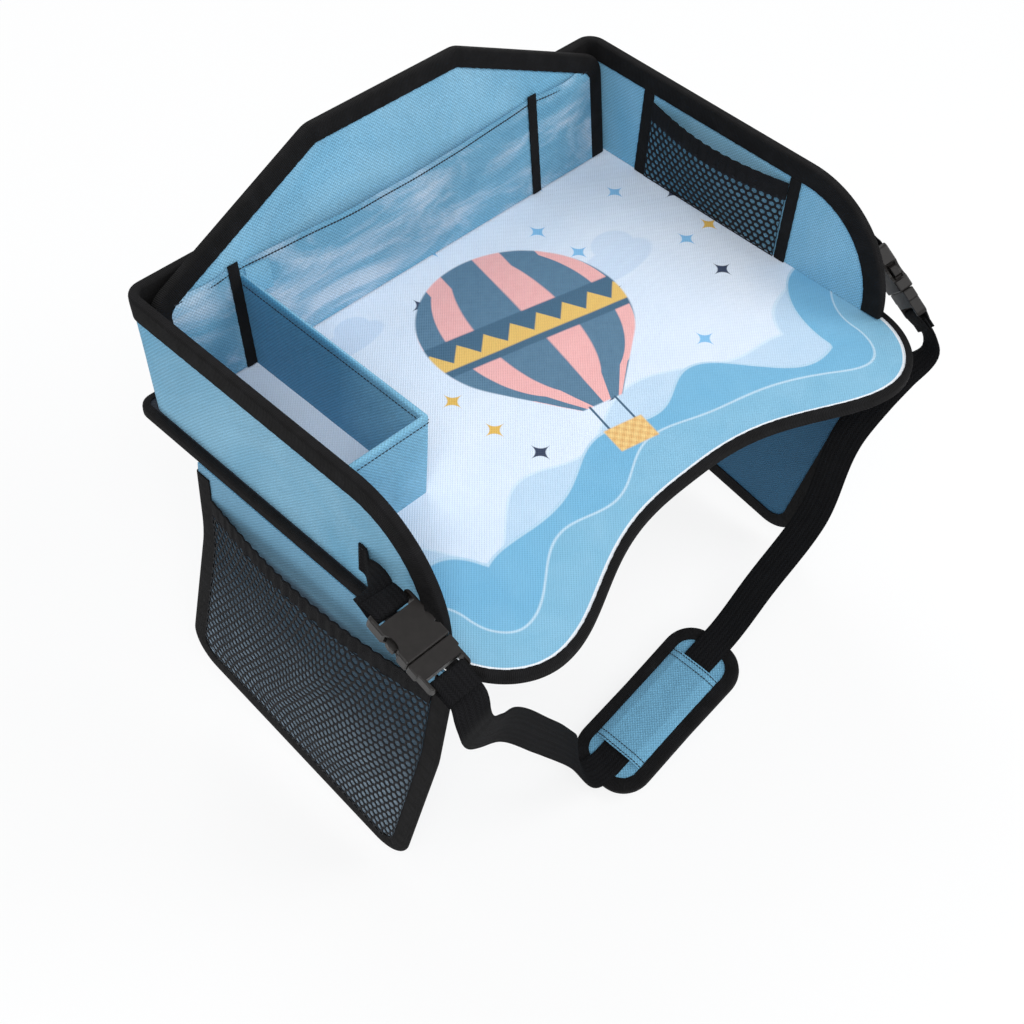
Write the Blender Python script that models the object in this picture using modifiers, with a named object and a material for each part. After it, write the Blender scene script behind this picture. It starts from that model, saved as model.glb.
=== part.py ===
"""Car seat tray table: a bound, padded tray with a wrap-round wall, a tall back panel, a storage box,
mesh pockets, two hanging side flaps and a padded waist strap on side-release buckles.

Metres, +Z up. The child sits at -Y, the back panel is at +Y. The origin is on the tray's underside.
"""

import math

import bmesh
import bpy
from mathutils import Matrix, Vector

# Sewn layers
FABRIC_T = 0.0008
TAPE_T = 0.0010
SEAM_GAP = 0.0003
WEBBING_WIDTH = 0.025
WEBBING_T = 0.0014
WEBBING_STEP = 0.014

# Tray base
TRAY_INNER_WIDTH = 0.420
BACK_FOOT_Y = 0.155
TRAY_TO_BELLY = 0.267
TRAY_TO_LOBE = 0.310
LOBE_SPACING = 0.334
LOBE_SHOULDER = 0.060
BASE_BOARD_T = 0.0040
BASE_BOARD_INSET = 0.0015
BASE_LEDGE = 0.0055
BASE_FLANGE = 0.0040
BASE_CORNER_R = 0.009

# Wrap-round wall
WALL_HEIGHT = 0.087
WALL_LENGTH = 0.260
WALL_CURVE_LENGTH = 0.080
WALL_BOARD_T = 0.0025
WALL_BOARD_INSET = 0.0015
WALL_CORNER_R = 0.010
WALL_BINDING_FACE = 0.014
REAR_WALL_OFFSET = 0.0125
WALL_LEAN_RUN = 0.120

# Tall back panel and its pocket band
PANEL_LEAN_DEG = 9.16
PANEL_HEIGHT = 0.1445
PANEL_SHOULDER_HEIGHT = 0.080
PANEL_PEAK_WIDTH = 0.132
PANEL_PEAK_R = 0.020
PANEL_BINDING_FACE = 0.012
PANEL_FOOT_CLEARANCE = 0.0014
PANEL_SIDE_CLEARANCE = 0.0013
BAND_HEIGHT = 0.0786
BAND_TAPE_WIDTH = 0.008
RIGHT_TAPE_FROM_WALL = 0.0780
BAND_TAPE_OVERRUN = 0.003
POCKET_BOW = 0.0085

# Storage box
BOX_INNER_WIDTH = 0.0710
BOX_LENGTH = 0.162
BOX_HEIGHT = 0.0685
BOX_BOARD_T = 0.0020
BOX_TAB_WIDTH = 0.018
BOX_TAB_HEIGHT = 0.022

# Mesh pocket inside the right wall
SIDE_POCKET_BACK = 0.030
SIDE_POCKET_FRONT = 0.176
SIDE_POCKET_HEIGHT = 0.0665
SIDE_TAPE_WIDTH = 0.009
ELASTIC_WIDTH = 0.014
ELASTIC_T = 0.0012
SIDE_POCKET_BULGE = 0.010

# Hanging side flaps
FLAP_T = 0.0020
FLAP_HINGE_DROP = 0.0024
FLAP_DEPTH_FRONT = 0.260
FLAP_DEPTH_BACK = 0.222
FLAP_BINDING_FACE = 0.012
FLAP_BINDING_START = 0.006
FLAP_FRONT_TOP = 0.2720
FLAP_FRONT_KNEE = 0.2620
FLAP_KNEE_DEPTH = 0.100
FLAP_FRONT_FOOT = 0.2310
FLAP_BACK_NECK = 0.0380
FLAP_NECK_DEPTH = 0.065
FLAP_BACK_FOOT = 0.0050
FLAP_CORNER_R = 0.026
FLAP_SIDE_R = 0.150
FLAP_POCKET_TOP = 0.023
FLAP_NET_BULGE = 0.010
FLAP_POCKET_DEPTH = 0.022
FLAP_POCKET_FOOT = 0.004
FLAP_POCKET_MARGIN = 0.006
FLAP_POCKET_HEM = 0.012

# Nets
NET_PITCH = 0.0160
SIDE_NET_PITCH = 0.0100
NET_STRAND = 0.0011
NET_SEAT = 0.0014

# Side-release buckles, X along the webbing from the wall, Y across it, Z through it
BUCKLE_WIDTH = 0.033
BUCKLE_T = 0.0105
BUCKLE_EDGE_R = 0.0012
BUCKLE_CORNER_R = 0.003
FEMALE_LENGTH = 0.036
FEMALE_WALL = 0.0018
SOCKET_START = 0.0105
BAR_T = 0.0040
BAR_WIDTH = 0.0030
SLOT_LENGTH = 0.0055
SLOT_SIDE_CLEARANCE = 0.0008
WINDOW_CENTRE = 0.021
WINDOW_LENGTH = 0.016
WINDOW_DEPTH = 0.0038
BUCKLE_JOIN_GAP = 0.0003
SHOULDER_LENGTH = 0.008
MALE_LENGTH = 0.021
MALE_T = 0.0080
TONGUE_LENGTH = 0.024
TONGUE_WIDTH = 0.006
TONGUE_T = 0.0040
PRONG_LENGTH = 0.026
PRONG_T = 0.0050
PRONG_ROOT_LENGTH = 0.0040
PRONG_CLEARANCE = 0.0005
PRONG_ROOT_OFFSET = 0.011
PRONG_EDGE_R = 0.0004
FEMALE_NECK_SHARE = 0.95
MALE_NECK_SHARE = 0.93
WINDOW_REACH_SHARE = 1.5
PRONG_ROOT_HALF_SHARE = 0.26

# A prong's outline beyond its root, in shares of its length and of the room beside the root
PRONG_SHARES = ((0, 0.24), (-0.34, 0.36), (-0.50, 0.50), (-0.535, 0.98), (-0.66, 1.02), (-0.78, 0.90),
                (-0.86, 0.44), (-1.0, 0.18), (-1.0, -0.16), (-0.80, -0.30), (-0.45, -0.30))

# Where the buckles hang, from the side wall's inner face, the back band's foot and the tray's top
LEFT_BUCKLE = {"out": 0.0250, "back": 0.2310, "up": 0.0360, "pitch_deg": 17, "roll_deg": 2}
RIGHT_BUCKLE = {"out": 0.0250, "back": 0.2295, "up": 0.0330, "pitch_deg": 34, "roll_deg": 61}
WALL_TAB = {"back": 0.187, "up": 0.025}
TAB_FLAT_LENGTH = 0.005
TAB_LIFT_RUN = 0.009
TAB_LIFT = 0.0050
LOOP_EASE = 0.016

# Waist strap and its shoulder pad
PAD_CENTRE = (-0.001, -0.123, -0.247)
PAD_TILT_DEG = 19
PAD_LENGTH = 0.140
PAD_WIDTH = 0.063
PAD_CORNER_R = 0.023
PAD_EDGE_T = 0.0050
PAD_CROWN = 0.0010
PAD_SHOULDER_SHARE = 0.55
PAD_BELLY = 0.0035
PAD_DRAWN_IN = 0.0012
PAD_BINDING_FACE = 0.009
PAD_CROWN_REACH = 0.012
PAD_WEBBING_LIFT = 0.0050
SLEEVE_LENGTH = 0.090
SLEEVE_WIDTH = 0.046
SLEEVE_CLEARANCE = 0.0004
STRAIGHT_LEFT = 0.052
STRAIGHT_RIGHT = 0.062
FOLD_LENGTH = 0.007
FOLD_CLEARANCE = 0.0008
STRAP_START = 0.0035
STRAP_LEAD = 0.0075

# The webbing's route from the left buckle to the pad and from the pad to the right buckle, with the
# direction of its width at each point, laid out for a tray of this half width
ROUTE_HALF_WIDTH = 0.210
LEFT_ROUTE = (
    ((-0.2375, -0.1510, 0.0125), (0.97, 0.00, 0.22)),
    ((-0.2311, -0.1500, -0.0089), (0.93, 0.00, 0.36)),
    ((-0.2124, -0.1430, -0.0358), (0.85, 0.05, 0.50)),
    ((-0.1906, -0.1350, -0.0605), (0.80, 0.12, 0.58)),
    ((-0.1426, -0.1270, -0.1313), (0.76, 0.20, 0.62)),
    ((-0.0984, -0.1215, -0.2022), (0.45, 0.50, 0.75)),
    ((-0.0662, -0.1230, -0.2605), (0.05, 0.97, 0.15)),
)
RIGHT_ROUTE = (
    ((0.1026, -0.1250, -0.1842), (0, 1, 0)),
    ((0.1421, -0.1310, -0.1335), (0, 1, 0)),
    ((0.1690, -0.1310, -0.0538), (0, 1, 0)),
    ((0.1850, -0.1340, -0.0358), (0, 1, 0)),
    ((0.2071, -0.1360, -0.0240), (0.10, 0.95, 0)),
    ((0.2345, -0.1390, -0.0080), (0.50, 0.75, -0.45)),
)

# Places worked out from the sizes
BASE_T = 2 * FABRIC_T + BASE_BOARD_T + 2 * SEAM_GAP
WALL_T = 2 * FABRIC_T + WALL_BOARD_T + 2 * SEAM_GAP
WALL_X = TRAY_INNER_WIDTH / 2 + WALL_T / 2
WALL_FRONT_Y = BACK_FOOT_Y - WALL_LENGTH
WALL_BACK_Y = BACK_FOOT_Y + REAR_WALL_OFFSET + WALL_T / 2
WALL_FOOT_Z = BASE_T + SEAM_GAP
BASE_HALF_WIDTH = TRAY_INNER_WIDTH / 2 + WALL_T + BASE_LEDGE
BASE_BACK_Y = WALL_BACK_Y + WALL_T / 2 + BASE_LEDGE
PANEL_T = 2 * FABRIC_T + WALL_BOARD_T + 2 * SEAM_GAP
PANEL_HALF = TRAY_INNER_WIDTH / 2 - 2 * (SEAM_GAP + TAPE_T) - PANEL_SIDE_CLEARANCE
BAND_HALF = PANEL_HALF - PANEL_BINDING_FACE - SEAM_GAP
BAND_SEAT = SEAM_GAP + FABRIC_T / 2
BOX_SLEEVE_HALF = BOX_BOARD_T / 2 + SEAM_GAP + FABRIC_T
DIVIDER_X = -TRAY_INNER_WIDTH / 2 + BOX_INNER_WIDTH + BOX_SLEEVE_HALF
RIGHT_TAPE_X = TRAY_INNER_WIDTH / 2 - RIGHT_TAPE_FROM_WALL
LEFT_TAPE_X = DIVIDER_X - BOX_SLEEVE_HALF - SEAM_GAP - BAND_TAPE_WIDTH / 2
BOX_FRONT_Y = BACK_FOOT_Y - BOX_LENGTH + BOX_SLEEVE_HALF
FLAP_AXIS_X = BASE_HALF_WIDTH
FLAP_AXIS_Z = -SEAM_GAP - TAPE_T - FLAP_HINGE_DROP
FLAP_TOP_RISE = math.sqrt((FLAP_HINGE_DROP - SEAM_GAP)**2 - (FLAP_T / 2)**2)
FLAP_BOUND_HALF = FLAP_T / 2 + SEAM_GAP + TAPE_T
SHOULDER_X = FEMALE_LENGTH + BUCKLE_JOIN_GAP
MALE_END_X = SHOULDER_X + MALE_LENGTH
LOOP_RADIUS = BAR_T / 2 + WEBBING_T
PRONG_ROOT_X = SHOULDER_X + PRONG_ROOT_LENGTH / 2
LEAN_END_Y = WALL_BACK_Y - WALL_CORNER_R
LEAN_START_Y = LEAN_END_Y - WALL_LEAN_RUN

BELLY_POWER_SHARE = 1.42
BELLY_STEPS = 14
LOBE_STEPS = 7
CORNER_STEPS = 5
WALL_CURVE_STEPS = 9
WALL_FIRST_TURN_DEG = 8
BAND_BAY_STEPS = 6
BAND_ROWS = 4
SLEEVE_STEPS = 6
BAR_TURN_STEPS = 6
BUCKLE_CORNER_STEPS = 3
WINDOW_STEPS = 20
WEBBING_BEND_DEG = 22

RIGHT, BACK, UP = Vector((1, 0, 0)), Vector((0, 1, 0)), Vector((0, 0, 1))
LEVEL = Matrix.Identity(4)


def clear_scene():
    for item in list(bpy.data.objects):
        bpy.data.objects.remove(item)


def collection(name):
    made = bpy.data.collections.new(name)
    bpy.context.scene.collection.children.link(made)
    return made


def material(name, colour, roughness, metallic=0.0):
    made = bpy.data.materials.new(name)
    made.use_nodes = True
    shader = made.node_tree.nodes["Principled BSDF"]
    shader.inputs["Base Color"].default_value = (*colour, 1.0)
    shader.inputs["Roughness"].default_value = roughness
    shader.inputs["Metallic"].default_value = metallic
    made.diffuse_color = (*colour, 1.0)
    return made


def add(name, data, surface, group=None):
    item = bpy.data.objects.new(name, data)
    data.materials.append(surface)
    (group or TRAY).objects.link(item)
    return item


def finished(mesh, name):
    """A mesh datablock from a closed bmesh, with its faces turned outwards."""
    bmesh.ops.recalc_face_normals(mesh, faces=mesh.faces)
    data = bpy.data.meshes.new(name)
    mesh.to_mesh(data)
    mesh.free()
    return data


def carry(items, empty):
    """Hangs pieces on an empty that stands on their joint's axis."""
    for item in items:
        item.parent = empty
        item.matrix_parent_inverse = empty.matrix_world.inverted()


def axis_empty(name, place):
    empty = bpy.data.objects.new(name, None)
    TRAY.objects.link(empty)
    empty.matrix_world = place
    bpy.context.view_layer.update()
    return empty


def frame(origin, x_axis, y_axis):
    """Local axes X and Y as given, Z square to both, at the origin."""
    x_axis = Vector(x_axis).normalized()
    z_axis = x_axis.cross(Vector(y_axis)).normalized()
    y_axis = z_axis.cross(x_axis)
    return Matrix.Translation(Vector(origin)) @ Matrix((x_axis, y_axis, z_axis)).transposed().to_4x4()


def ellipse_arc(centre, radii, start_deg, end_deg, steps):
    points = []
    for i in range(steps + 1):
        turn = math.radians(start_deg + (end_deg - start_deg) * i / steps)
        points.append((centre[0] + radii[0] * math.cos(turn), centre[1] + radii[1] * math.sin(turn)))
    return points


def rounded_path(corners, steps, closed):
    """Points along straight runs between corners (x, y, radius), each corner rounded by an arc."""
    points = []
    for i, (x, y, radius) in enumerate(corners):
        here = Vector((x, y))
        if radius == 0 or (not closed and i in (0, len(corners) - 1)):
            points.append(tuple(here))
            continue
        back = Vector(corners[i - 1][:2]) - here
        ahead = Vector(corners[(i + 1) % len(corners)][:2]) - here
        half = back.angle(ahead) / 2
        run = min(radius / math.tan(half), 0.48 * min(back.length, ahead.length))
        radius = run * math.tan(half)
        centre = here + (back.normalized() + ahead.normalized()).normalized() * (radius / math.sin(half))
        first = here + back.normalized() * run - centre
        last = here + ahead.normalized() * run - centre
        turn = first.angle(last)
        for k in range(steps + 1):
            share = k / steps
            spoke = first * math.sin((1 - share) * turn) + last * math.sin(share * turn)
            points.append(tuple(centre + spoke / math.sin(turn)))
    return points


def outward_normals(points, closed):
    """The mitred normals on the right-hand side of each point, which is outside a path run anticlockwise."""
    normals = []
    count = len(points)
    for i in range(count):
        sides = []
        for j in (i - 1, i):
            if closed or 0 <= j < count - 1:
                run = Vector(points[(j + 1) % count]) - Vector(points[j % count])
                sides.append(Vector((run.y, -run.x)).normalized())
        middle = sum(sides, Vector((0, 0))).normalized()
        normals.append(middle / middle.dot(sides[0]))
    return normals


def grown(points, distance, closed=True):
    normals = outward_normals(points, closed)
    return [tuple(Vector(point) + normal * distance) for point, normal in zip(points, normals)]


def plate(name, outline, thickness, place, surface, group=None):
    """A flat piece cut to an outline, centred on the place's XY plane."""
    curve = bpy.data.curves.new(name, "CURVE")
    curve.dimensions = "2D"
    curve.fill_mode = "BOTH"
    curve.extrude = thickness / 2
    spline = curve.splines.new("POLY")
    spline.points.add(len(outline) - 1)
    for point, (x, y) in zip(spline.points, outline):
        point.co = (x, y, 0, 1)
    spline.use_cyclic_u = True
    item = add(name, curve, surface, group)
    item.matrix_world = place
    return item


def as_mesh(item):
    """The curve object as a mesh object with its caps welded on, so that it can be cut."""
    bpy.context.view_layer.update()
    data = bpy.data.meshes.new_from_object(item.evaluated_get(bpy.context.evaluated_depsgraph_get()))
    mesh = bmesh.new()
    mesh.from_mesh(data)
    bmesh.ops.remove_doubles(mesh, verts=mesh.verts, dist=1e-6)
    bmesh.ops.dissolve_limit(mesh, angle_limit=math.radians(1), verts=mesh.verts, edges=mesh.edges)
    bmesh.ops.recalc_face_normals(mesh, faces=mesh.faces)
    mesh.to_mesh(data)
    mesh.free()
    name, group, place = item.name, item.users_collection[0], item.matrix_world.copy()
    bpy.data.objects.remove(item)
    made = bpy.data.objects.new(name, data)
    group.objects.link(made)
    made.matrix_world = place
    return made


def applied(item):
    """The object's mesh with its modifiers worked in."""
    bpy.context.view_layer.update()
    data = bpy.data.meshes.new_from_object(item.evaluated_get(bpy.context.evaluated_depsgraph_get()))
    item.modifiers.clear()
    item.data = data
    return item


def sweep(name, stations, profile, surface, closed=False):
    """A closed profile (across, out) carried along stations of (origin, across axis, out axis)."""
    mesh = bmesh.new()
    rings = [[mesh.verts.new(origin + a * across + b * out) for a, b in profile]
             for origin, across, out in stations]
    for first, second in zip(rings, rings[1:] + rings[:1] if closed else rings[1:]):
        for i in range(len(profile)):
            j = (i + 1) % len(profile)
            mesh.faces.new((first[i], first[j], second[j], second[i]))
    if not closed:
        mesh.faces.new(rings[0])
        mesh.faces.new(reversed(rings[-1]))
    return add(name, finished(mesh, name), surface)


def ribbon(name, stations, ways, surface):
    """Webbing through stations of (point, normal, width direction). Each span's faces are split the same way
    on both sides of the webbing, so that plies that twist together stay clear of each other."""
    half, edge = WEBBING_T / 2, WEBBING_WIDTH / 2
    profile = [(-half, -edge), (half, -edge), (half, edge), (-half, edge)]
    mesh = bmesh.new()
    rings = [[mesh.verts.new(point + a * normal + b * width) for a, b in profile]
             for point, normal, width in stations]
    for first, second, onward in zip(rings, rings[1:], ways):
        for i in range(4):
            j = (i + 1) % 4
            low, high = (i, j) if (profile[i][1] <= profile[j][1]) == onward else (j, i)
            mesh.faces.new((first[low], first[high], second[high]))
            mesh.faces.new((first[low], second[high], second[low]))
    mesh.faces.new(rings[0])
    mesh.faces.new(reversed(rings[-1]))
    return add(name, finished(mesh, name), surface)


def sheet(name, rows, thickness, surface):
    """Cloth through a grid of points, thickened evenly to both sides."""
    mesh = bmesh.new()
    grid = [[mesh.verts.new(point) for point in row] for row in rows]
    for first, second in zip(grid, grid[1:]):
        for i in range(len(first) - 1):
            mesh.faces.new((first[i], first[i + 1], second[i + 1], second[i]))
    item = add(name, finished(mesh, name), surface)
    solid = item.modifiers.new("thickness", "SOLIDIFY")
    solid.thickness = thickness
    solid.offset = 0
    solid.use_even_offset = True
    return item


def fold_profile(core, face, skin):
    """A strip folded over an edge: faces of the given width on both sides of a core."""
    inner = core / 2 + SEAM_GAP
    outer = inner + skin
    return [(-outer, -face), (-inner, -face), (-inner, SEAM_GAP), (inner, SEAM_GAP), (inner, -face),
            (outer, -face), (outer, SEAM_GAP), (inner, SEAM_GAP + skin), (-inner, SEAM_GAP + skin),
            (-outer, SEAM_GAP)]


def binding(name, outline, core, face, place, surface, closed):
    """Binding tape folded round the edge of flat layers that are centred on the place's XY plane."""
    across = place.to_3x3() @ UP
    stations = []
    for point, normal in zip(outline, outward_normals(outline, closed)):
        stations.append((place @ Vector((*point, 0)), across, place.to_3x3() @ Vector((*normal, 0))))
    return sweep(name, stations, fold_profile(core, face, TAPE_T), surface, closed)


def upright(x):
    """The plane x, with local X to the back and local Y up."""
    return frame((x, 0, 0), BACK, UP)


def mirrored(half):
    """The whole outline from its right half, which runs from the front middle round to the back."""
    return half + [(-x, y) for x, y in reversed(half) if x > 0]


def base_outline():
    half = []
    lobe_x = LOBE_SPACING / 2
    belly_y, lobe_y = BACK_FOOT_Y - TRAY_TO_BELLY, BACK_FOOT_Y - TRAY_TO_LOBE
    for i in range(BELLY_STEPS):
        wave = (1 - math.cos(math.pi * (i / BELLY_STEPS) ** BELLY_POWER_SHARE)) / 2
        half.append((lobe_x * i / BELLY_STEPS, belly_y + (lobe_y - belly_y) * wave))
    lobe_centre = (lobe_x, lobe_y + LOBE_SHOULDER)
    half += ellipse_arc(lobe_centre, (BASE_HALF_WIDTH - lobe_x, LOBE_SHOULDER), -90, 0, LOBE_STEPS)
    corner = (BASE_HALF_WIDTH - BASE_CORNER_R, BASE_BACK_Y - BASE_CORNER_R)
    half += ellipse_arc(corner, (BASE_CORNER_R, BASE_CORNER_R), 0, 90, CORNER_STEPS)
    return mirrored(half)


def make_base():
    outline = base_outline()
    bottom, top = FABRIC_T / 2, BASE_T - FABRIC_T / 2
    lower_outline = grown(outline, -BASE_FLANGE - SEAM_GAP)
    plate("underside_cover", lower_outline, FABRIC_T, Matrix.Translation(UP * bottom), NAVY)
    inner = grown(outline, -BASE_BOARD_INSET)
    plate("base_board", inner, BASE_BOARD_T, Matrix.Translation(UP * (BASE_T / 2)), BOARD)
    plate("tray_top_cover", outline, FABRIC_T, Matrix.Translation(UP * top), PRINT)
    middle = Matrix.Translation(UP * (BASE_T / 2))
    binding("base_binding", outline, BASE_T, BASE_FLANGE, middle, BLACK_TAPE, True)


def lean_back(item):
    """Leans the rear of an upright wall piece back with the tall panel, easing in along its sides."""
    slope = math.tan(math.radians(PANEL_LEAN_DEG))
    for vertex in item.data.vertices:
        place = item.matrix_world @ vertex.co
        amount = min(max((place.y - LEAN_START_Y) / (LEAN_END_Y - LEAN_START_Y), 0), 1)
        place.y += amount * slope * (place.z - BASE_T)
        vertex.co = item.matrix_world.inverted() @ place
    return item


def wall_edge(turn_deg):
    """The curved front edge of a side wall, (y, z), and the outward direction, from foot 0 to top 90."""
    turn = math.radians(turn_deg)
    point = (WALL_FRONT_Y + WALL_CURVE_LENGTH * (1 - math.cos(turn)), BASE_T + WALL_HEIGHT * math.sin(turn))
    out = Vector((-WALL_HEIGHT * math.cos(turn), WALL_CURVE_LENGTH * math.sin(turn))).normalized()
    return point, out


def wall_turns():
    """The turns along the wall's curved front edge that all its layers share, from its foot to its top."""
    return [WALL_FIRST_TURN_DEG + (90 - WALL_FIRST_TURN_DEG) * i / WALL_CURVE_STEPS
            for i in range(WALL_CURVE_STEPS + 1)]


def wall_stations():
    """The wall's whole top edge, from its left front foot round the back to its right front foot."""
    foot_turn = math.degrees(math.asin((3 * SEAM_GAP + TAPE_T) / WALL_HEIGHT))
    half = []
    for turn in [foot_turn] + wall_turns():
        (y, z), out = wall_edge(turn)
        half.append((Vector((WALL_X, y, z)), RIGHT, Vector((0, out[0], out[1]))))
    half.append((Vector((WALL_X, LEAN_START_Y, BASE_T + WALL_HEIGHT)), RIGHT, UP))
    corner = (WALL_X - WALL_CORNER_R, WALL_BACK_Y - WALL_CORNER_R)
    for x, y in ellipse_arc(corner, (WALL_CORNER_R, WALL_CORNER_R), 0, 90, CORNER_STEPS):
        across = Vector((x - corner[0], y - corner[1], 0)).normalized()
        half.append((Vector((x, y, BASE_T + WALL_HEIGHT)), across, UP))
    left = [tuple(Vector((-v.x, v.y, v.z)) for v in station) for station in half]
    return left + half[::-1]


def side_wall_outline(inset, foot_z):
    """A side wall's face, (y, z), inset from the bound edge."""
    points = [(WALL_BACK_Y - WALL_CORNER_R, foot_z)]
    points.append((WALL_BACK_Y - WALL_CORNER_R, BASE_T + WALL_HEIGHT - inset))
    points.append((LEAN_START_Y, BASE_T + WALL_HEIGHT - inset))
    for turn in reversed(wall_turns()):
        (y, z), out = wall_edge(turn)
        points.append((y - out[0] * inset, z - out[1] * inset))
    points.append((points[-1][0], foot_z))
    points.append((LEAN_START_Y, foot_z))
    return points


def make_walls():
    board_outline = side_wall_outline(WALL_BOARD_INSET, WALL_FOOT_Z + SEAM_GAP)
    lining_outline = side_wall_outline(0, WALL_FOOT_Z)
    for side, sign in (("left", -1), ("right", 1)):
        board = plate(f"{side}_wall_board", board_outline, WALL_BOARD_T, upright(sign * WALL_X), BOARD)
        lean_back(as_mesh(board))
        lining_x = sign * (TRAY_INNER_WIDTH / 2 + FABRIC_T / 2)
        lining = plate(f"{side}_wall_lining", lining_outline, FABRIC_T, upright(lining_x), BLUE)
        lean_back(as_mesh(lining))
    reach = WALL_X - WALL_CORNER_R
    top = BASE_T + WALL_HEIGHT
    board = [(-reach, WALL_FOOT_Z + SEAM_GAP), (reach, WALL_FOOT_Z + SEAM_GAP),
             (reach, top - WALL_BOARD_INSET), (-reach, top - WALL_BOARD_INSET)]
    rear = plate("rear_wall_board", board, WALL_BOARD_T, frame((0, WALL_BACK_Y, 0), RIGHT, UP), BOARD)
    lean_back(as_mesh(rear))
    lining_y = WALL_BACK_Y - WALL_T / 2 + FABRIC_T / 2
    lining = [(-reach, WALL_FOOT_Z), (reach, WALL_FOOT_Z), (reach, top), (-reach, top)]
    rear = plate("rear_wall_lining", lining, FABRIC_T, frame((0, lining_y, 0), RIGHT, UP), BLUE)
    lean_back(as_mesh(rear))
    cover = []
    stations = wall_stations()
    for edge, across, _ in stations[1:-1]:
        point = edge + across * (WALL_T - FABRIC_T) / 2
        cover.append((Vector((point.x, point.y, WALL_FOOT_Z)), point))
    lean_back(applied(sheet("perimeter_outer_cover", list(zip(*cover)), FABRIC_T, BLUE)))
    profile = fold_profile(WALL_T, WALL_BINDING_FACE, TAPE_T)
    lean_back(sweep("perimeter_binding", stations, profile, BLACK_TAPE))


def panel_place(depth=0.0):
    """The leaning plane of the tall back panel: X right, Y up the panel, Z to the child."""
    lean = math.radians(PANEL_LEAN_DEG)
    up = Vector((0, math.sin(lean), math.cos(lean)))
    front = RIGHT.cross(up)
    foot = Vector((0, BACK_FOOT_Y, BASE_T)) - front * (BAND_SEAT + FABRIC_T / 2)
    return frame(foot + front * depth, RIGHT, up)


def band_end(height):
    """How far the band reaches to the side at a height, inside the binding of the panel's shoulder."""
    peak = PANEL_PEAK_WIDTH / 2
    slant = math.atan2(PANEL_HEIGHT - PANEL_SHOULDER_HEIGHT, PANEL_HALF - peak)
    drop = (PANEL_BINDING_FACE + 2 * SEAM_GAP) / math.cos(slant)
    rise = height - (PANEL_SHOULDER_HEIGHT - drop)
    return min(BAND_HALF, PANEL_HALF - rise / math.tan(slant))


def bay_edges(reach):
    """Where the pocket band is sewn down flat, from its left end to its right end: x from and to."""
    tape = BAND_TAPE_WIDTH / 2 + SEAM_GAP
    divider = DIVIDER_X + BOX_SLEEVE_HALF + SEAM_GAP
    return ((-reach, -reach), (LEFT_TAPE_X - tape, max(LEFT_TAPE_X + tape, divider)),
            (RIGHT_TAPE_X - tape, RIGHT_TAPE_X + tape), (reach, reach))


def band_bow(x, height_share, reach):
    """How far the band stands forward between its seams."""
    for (_, start), (end, _) in zip(bay_edges(reach), bay_edges(reach)[1:]):
        if start < x < end:
            across = math.sin(math.pi * (x - start) / (end - start))
            return POCKET_BOW * across * math.sin(math.pi / 2 * height_share)
    return 0.0


def band_columns(reach):
    columns = [-reach]
    for (_, start), (end, stop) in zip(bay_edges(reach), bay_edges(reach)[1:]):
        columns += [start + (end - start) * i / BAND_BAY_STEPS for i in range(1, BAND_BAY_STEPS + 1)]
        if stop > end:
            columns.append(stop)
    return columns


def make_back_panel():
    peak = PANEL_PEAK_WIDTH / 2
    corners = [(PANEL_HALF, PANEL_FOOT_CLEARANCE, 0), (PANEL_HALF, PANEL_SHOULDER_HEIGHT, PANEL_PEAK_R),
               (peak, PANEL_HEIGHT, PANEL_PEAK_R), (-peak, PANEL_HEIGHT, PANEL_PEAK_R),
               (-PANEL_HALF, PANEL_SHOULDER_HEIGHT, PANEL_PEAK_R), (-PANEL_HALF, PANEL_FOOT_CLEARANCE, 0)]
    outline = rounded_path(corners, CORNER_STEPS, False)
    board_outline = grown(outline, -WALL_BOARD_INSET)
    plate("back_panel_front_cover", outline, FABRIC_T, panel_place(-FABRIC_T / 2), BLUE)
    plate("back_panel_board", board_outline, WALL_BOARD_T, panel_place(-PANEL_T / 2), BOARD)
    plate("back_panel_rear_cover", outline, FABRIC_T, panel_place(FABRIC_T / 2 - PANEL_T), BLUE)
    middle = panel_place(-PANEL_T / 2)
    binding("back_panel_binding", outline, PANEL_T, PANEL_BINDING_FACE, middle, BLACK_TAPE, False)


def make_pocket_band():
    place = panel_place()
    rows = []
    for i in range(BAND_ROWS + 1):
        height = PANEL_FOOT_CLEARANCE + (BAND_HEIGHT - PANEL_FOOT_CLEARANCE) * i / BAND_ROWS
        reach = band_end(height)
        rows.append([place @ Vector((x, height, BAND_SEAT + band_bow(x, i / BAND_ROWS, reach)))
                     for x in band_columns(reach)])
    sheet("back_pocket_band", rows, FABRIC_T, PRINT)
    seat = BAND_SEAT + FABRIC_T / 2 + SEAM_GAP + TAPE_T / 2
    half = BAND_TAPE_WIDTH / 2
    top = BAND_HEIGHT + BAND_TAPE_OVERRUN
    for side, x in (("left", LEFT_TAPE_X), ("right", RIGHT_TAPE_X)):
        outline = [(x - half, PANEL_FOOT_CLEARANCE), (x + half, PANEL_FOOT_CLEARANCE),
                   (x + half, top), (x - half, top)]
        plate(f"pocket_tape_{side}", outline, TAPE_T, panel_place(seat), BLACK_TAPE)


def band_front_y(z, clearance):
    """The leaning band's front face at a height."""
    lean = math.radians(PANEL_LEAN_DEG)
    return BACK_FOOT_Y - clearance / math.cos(lean) + (z - BASE_T) * math.tan(lean)


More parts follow.
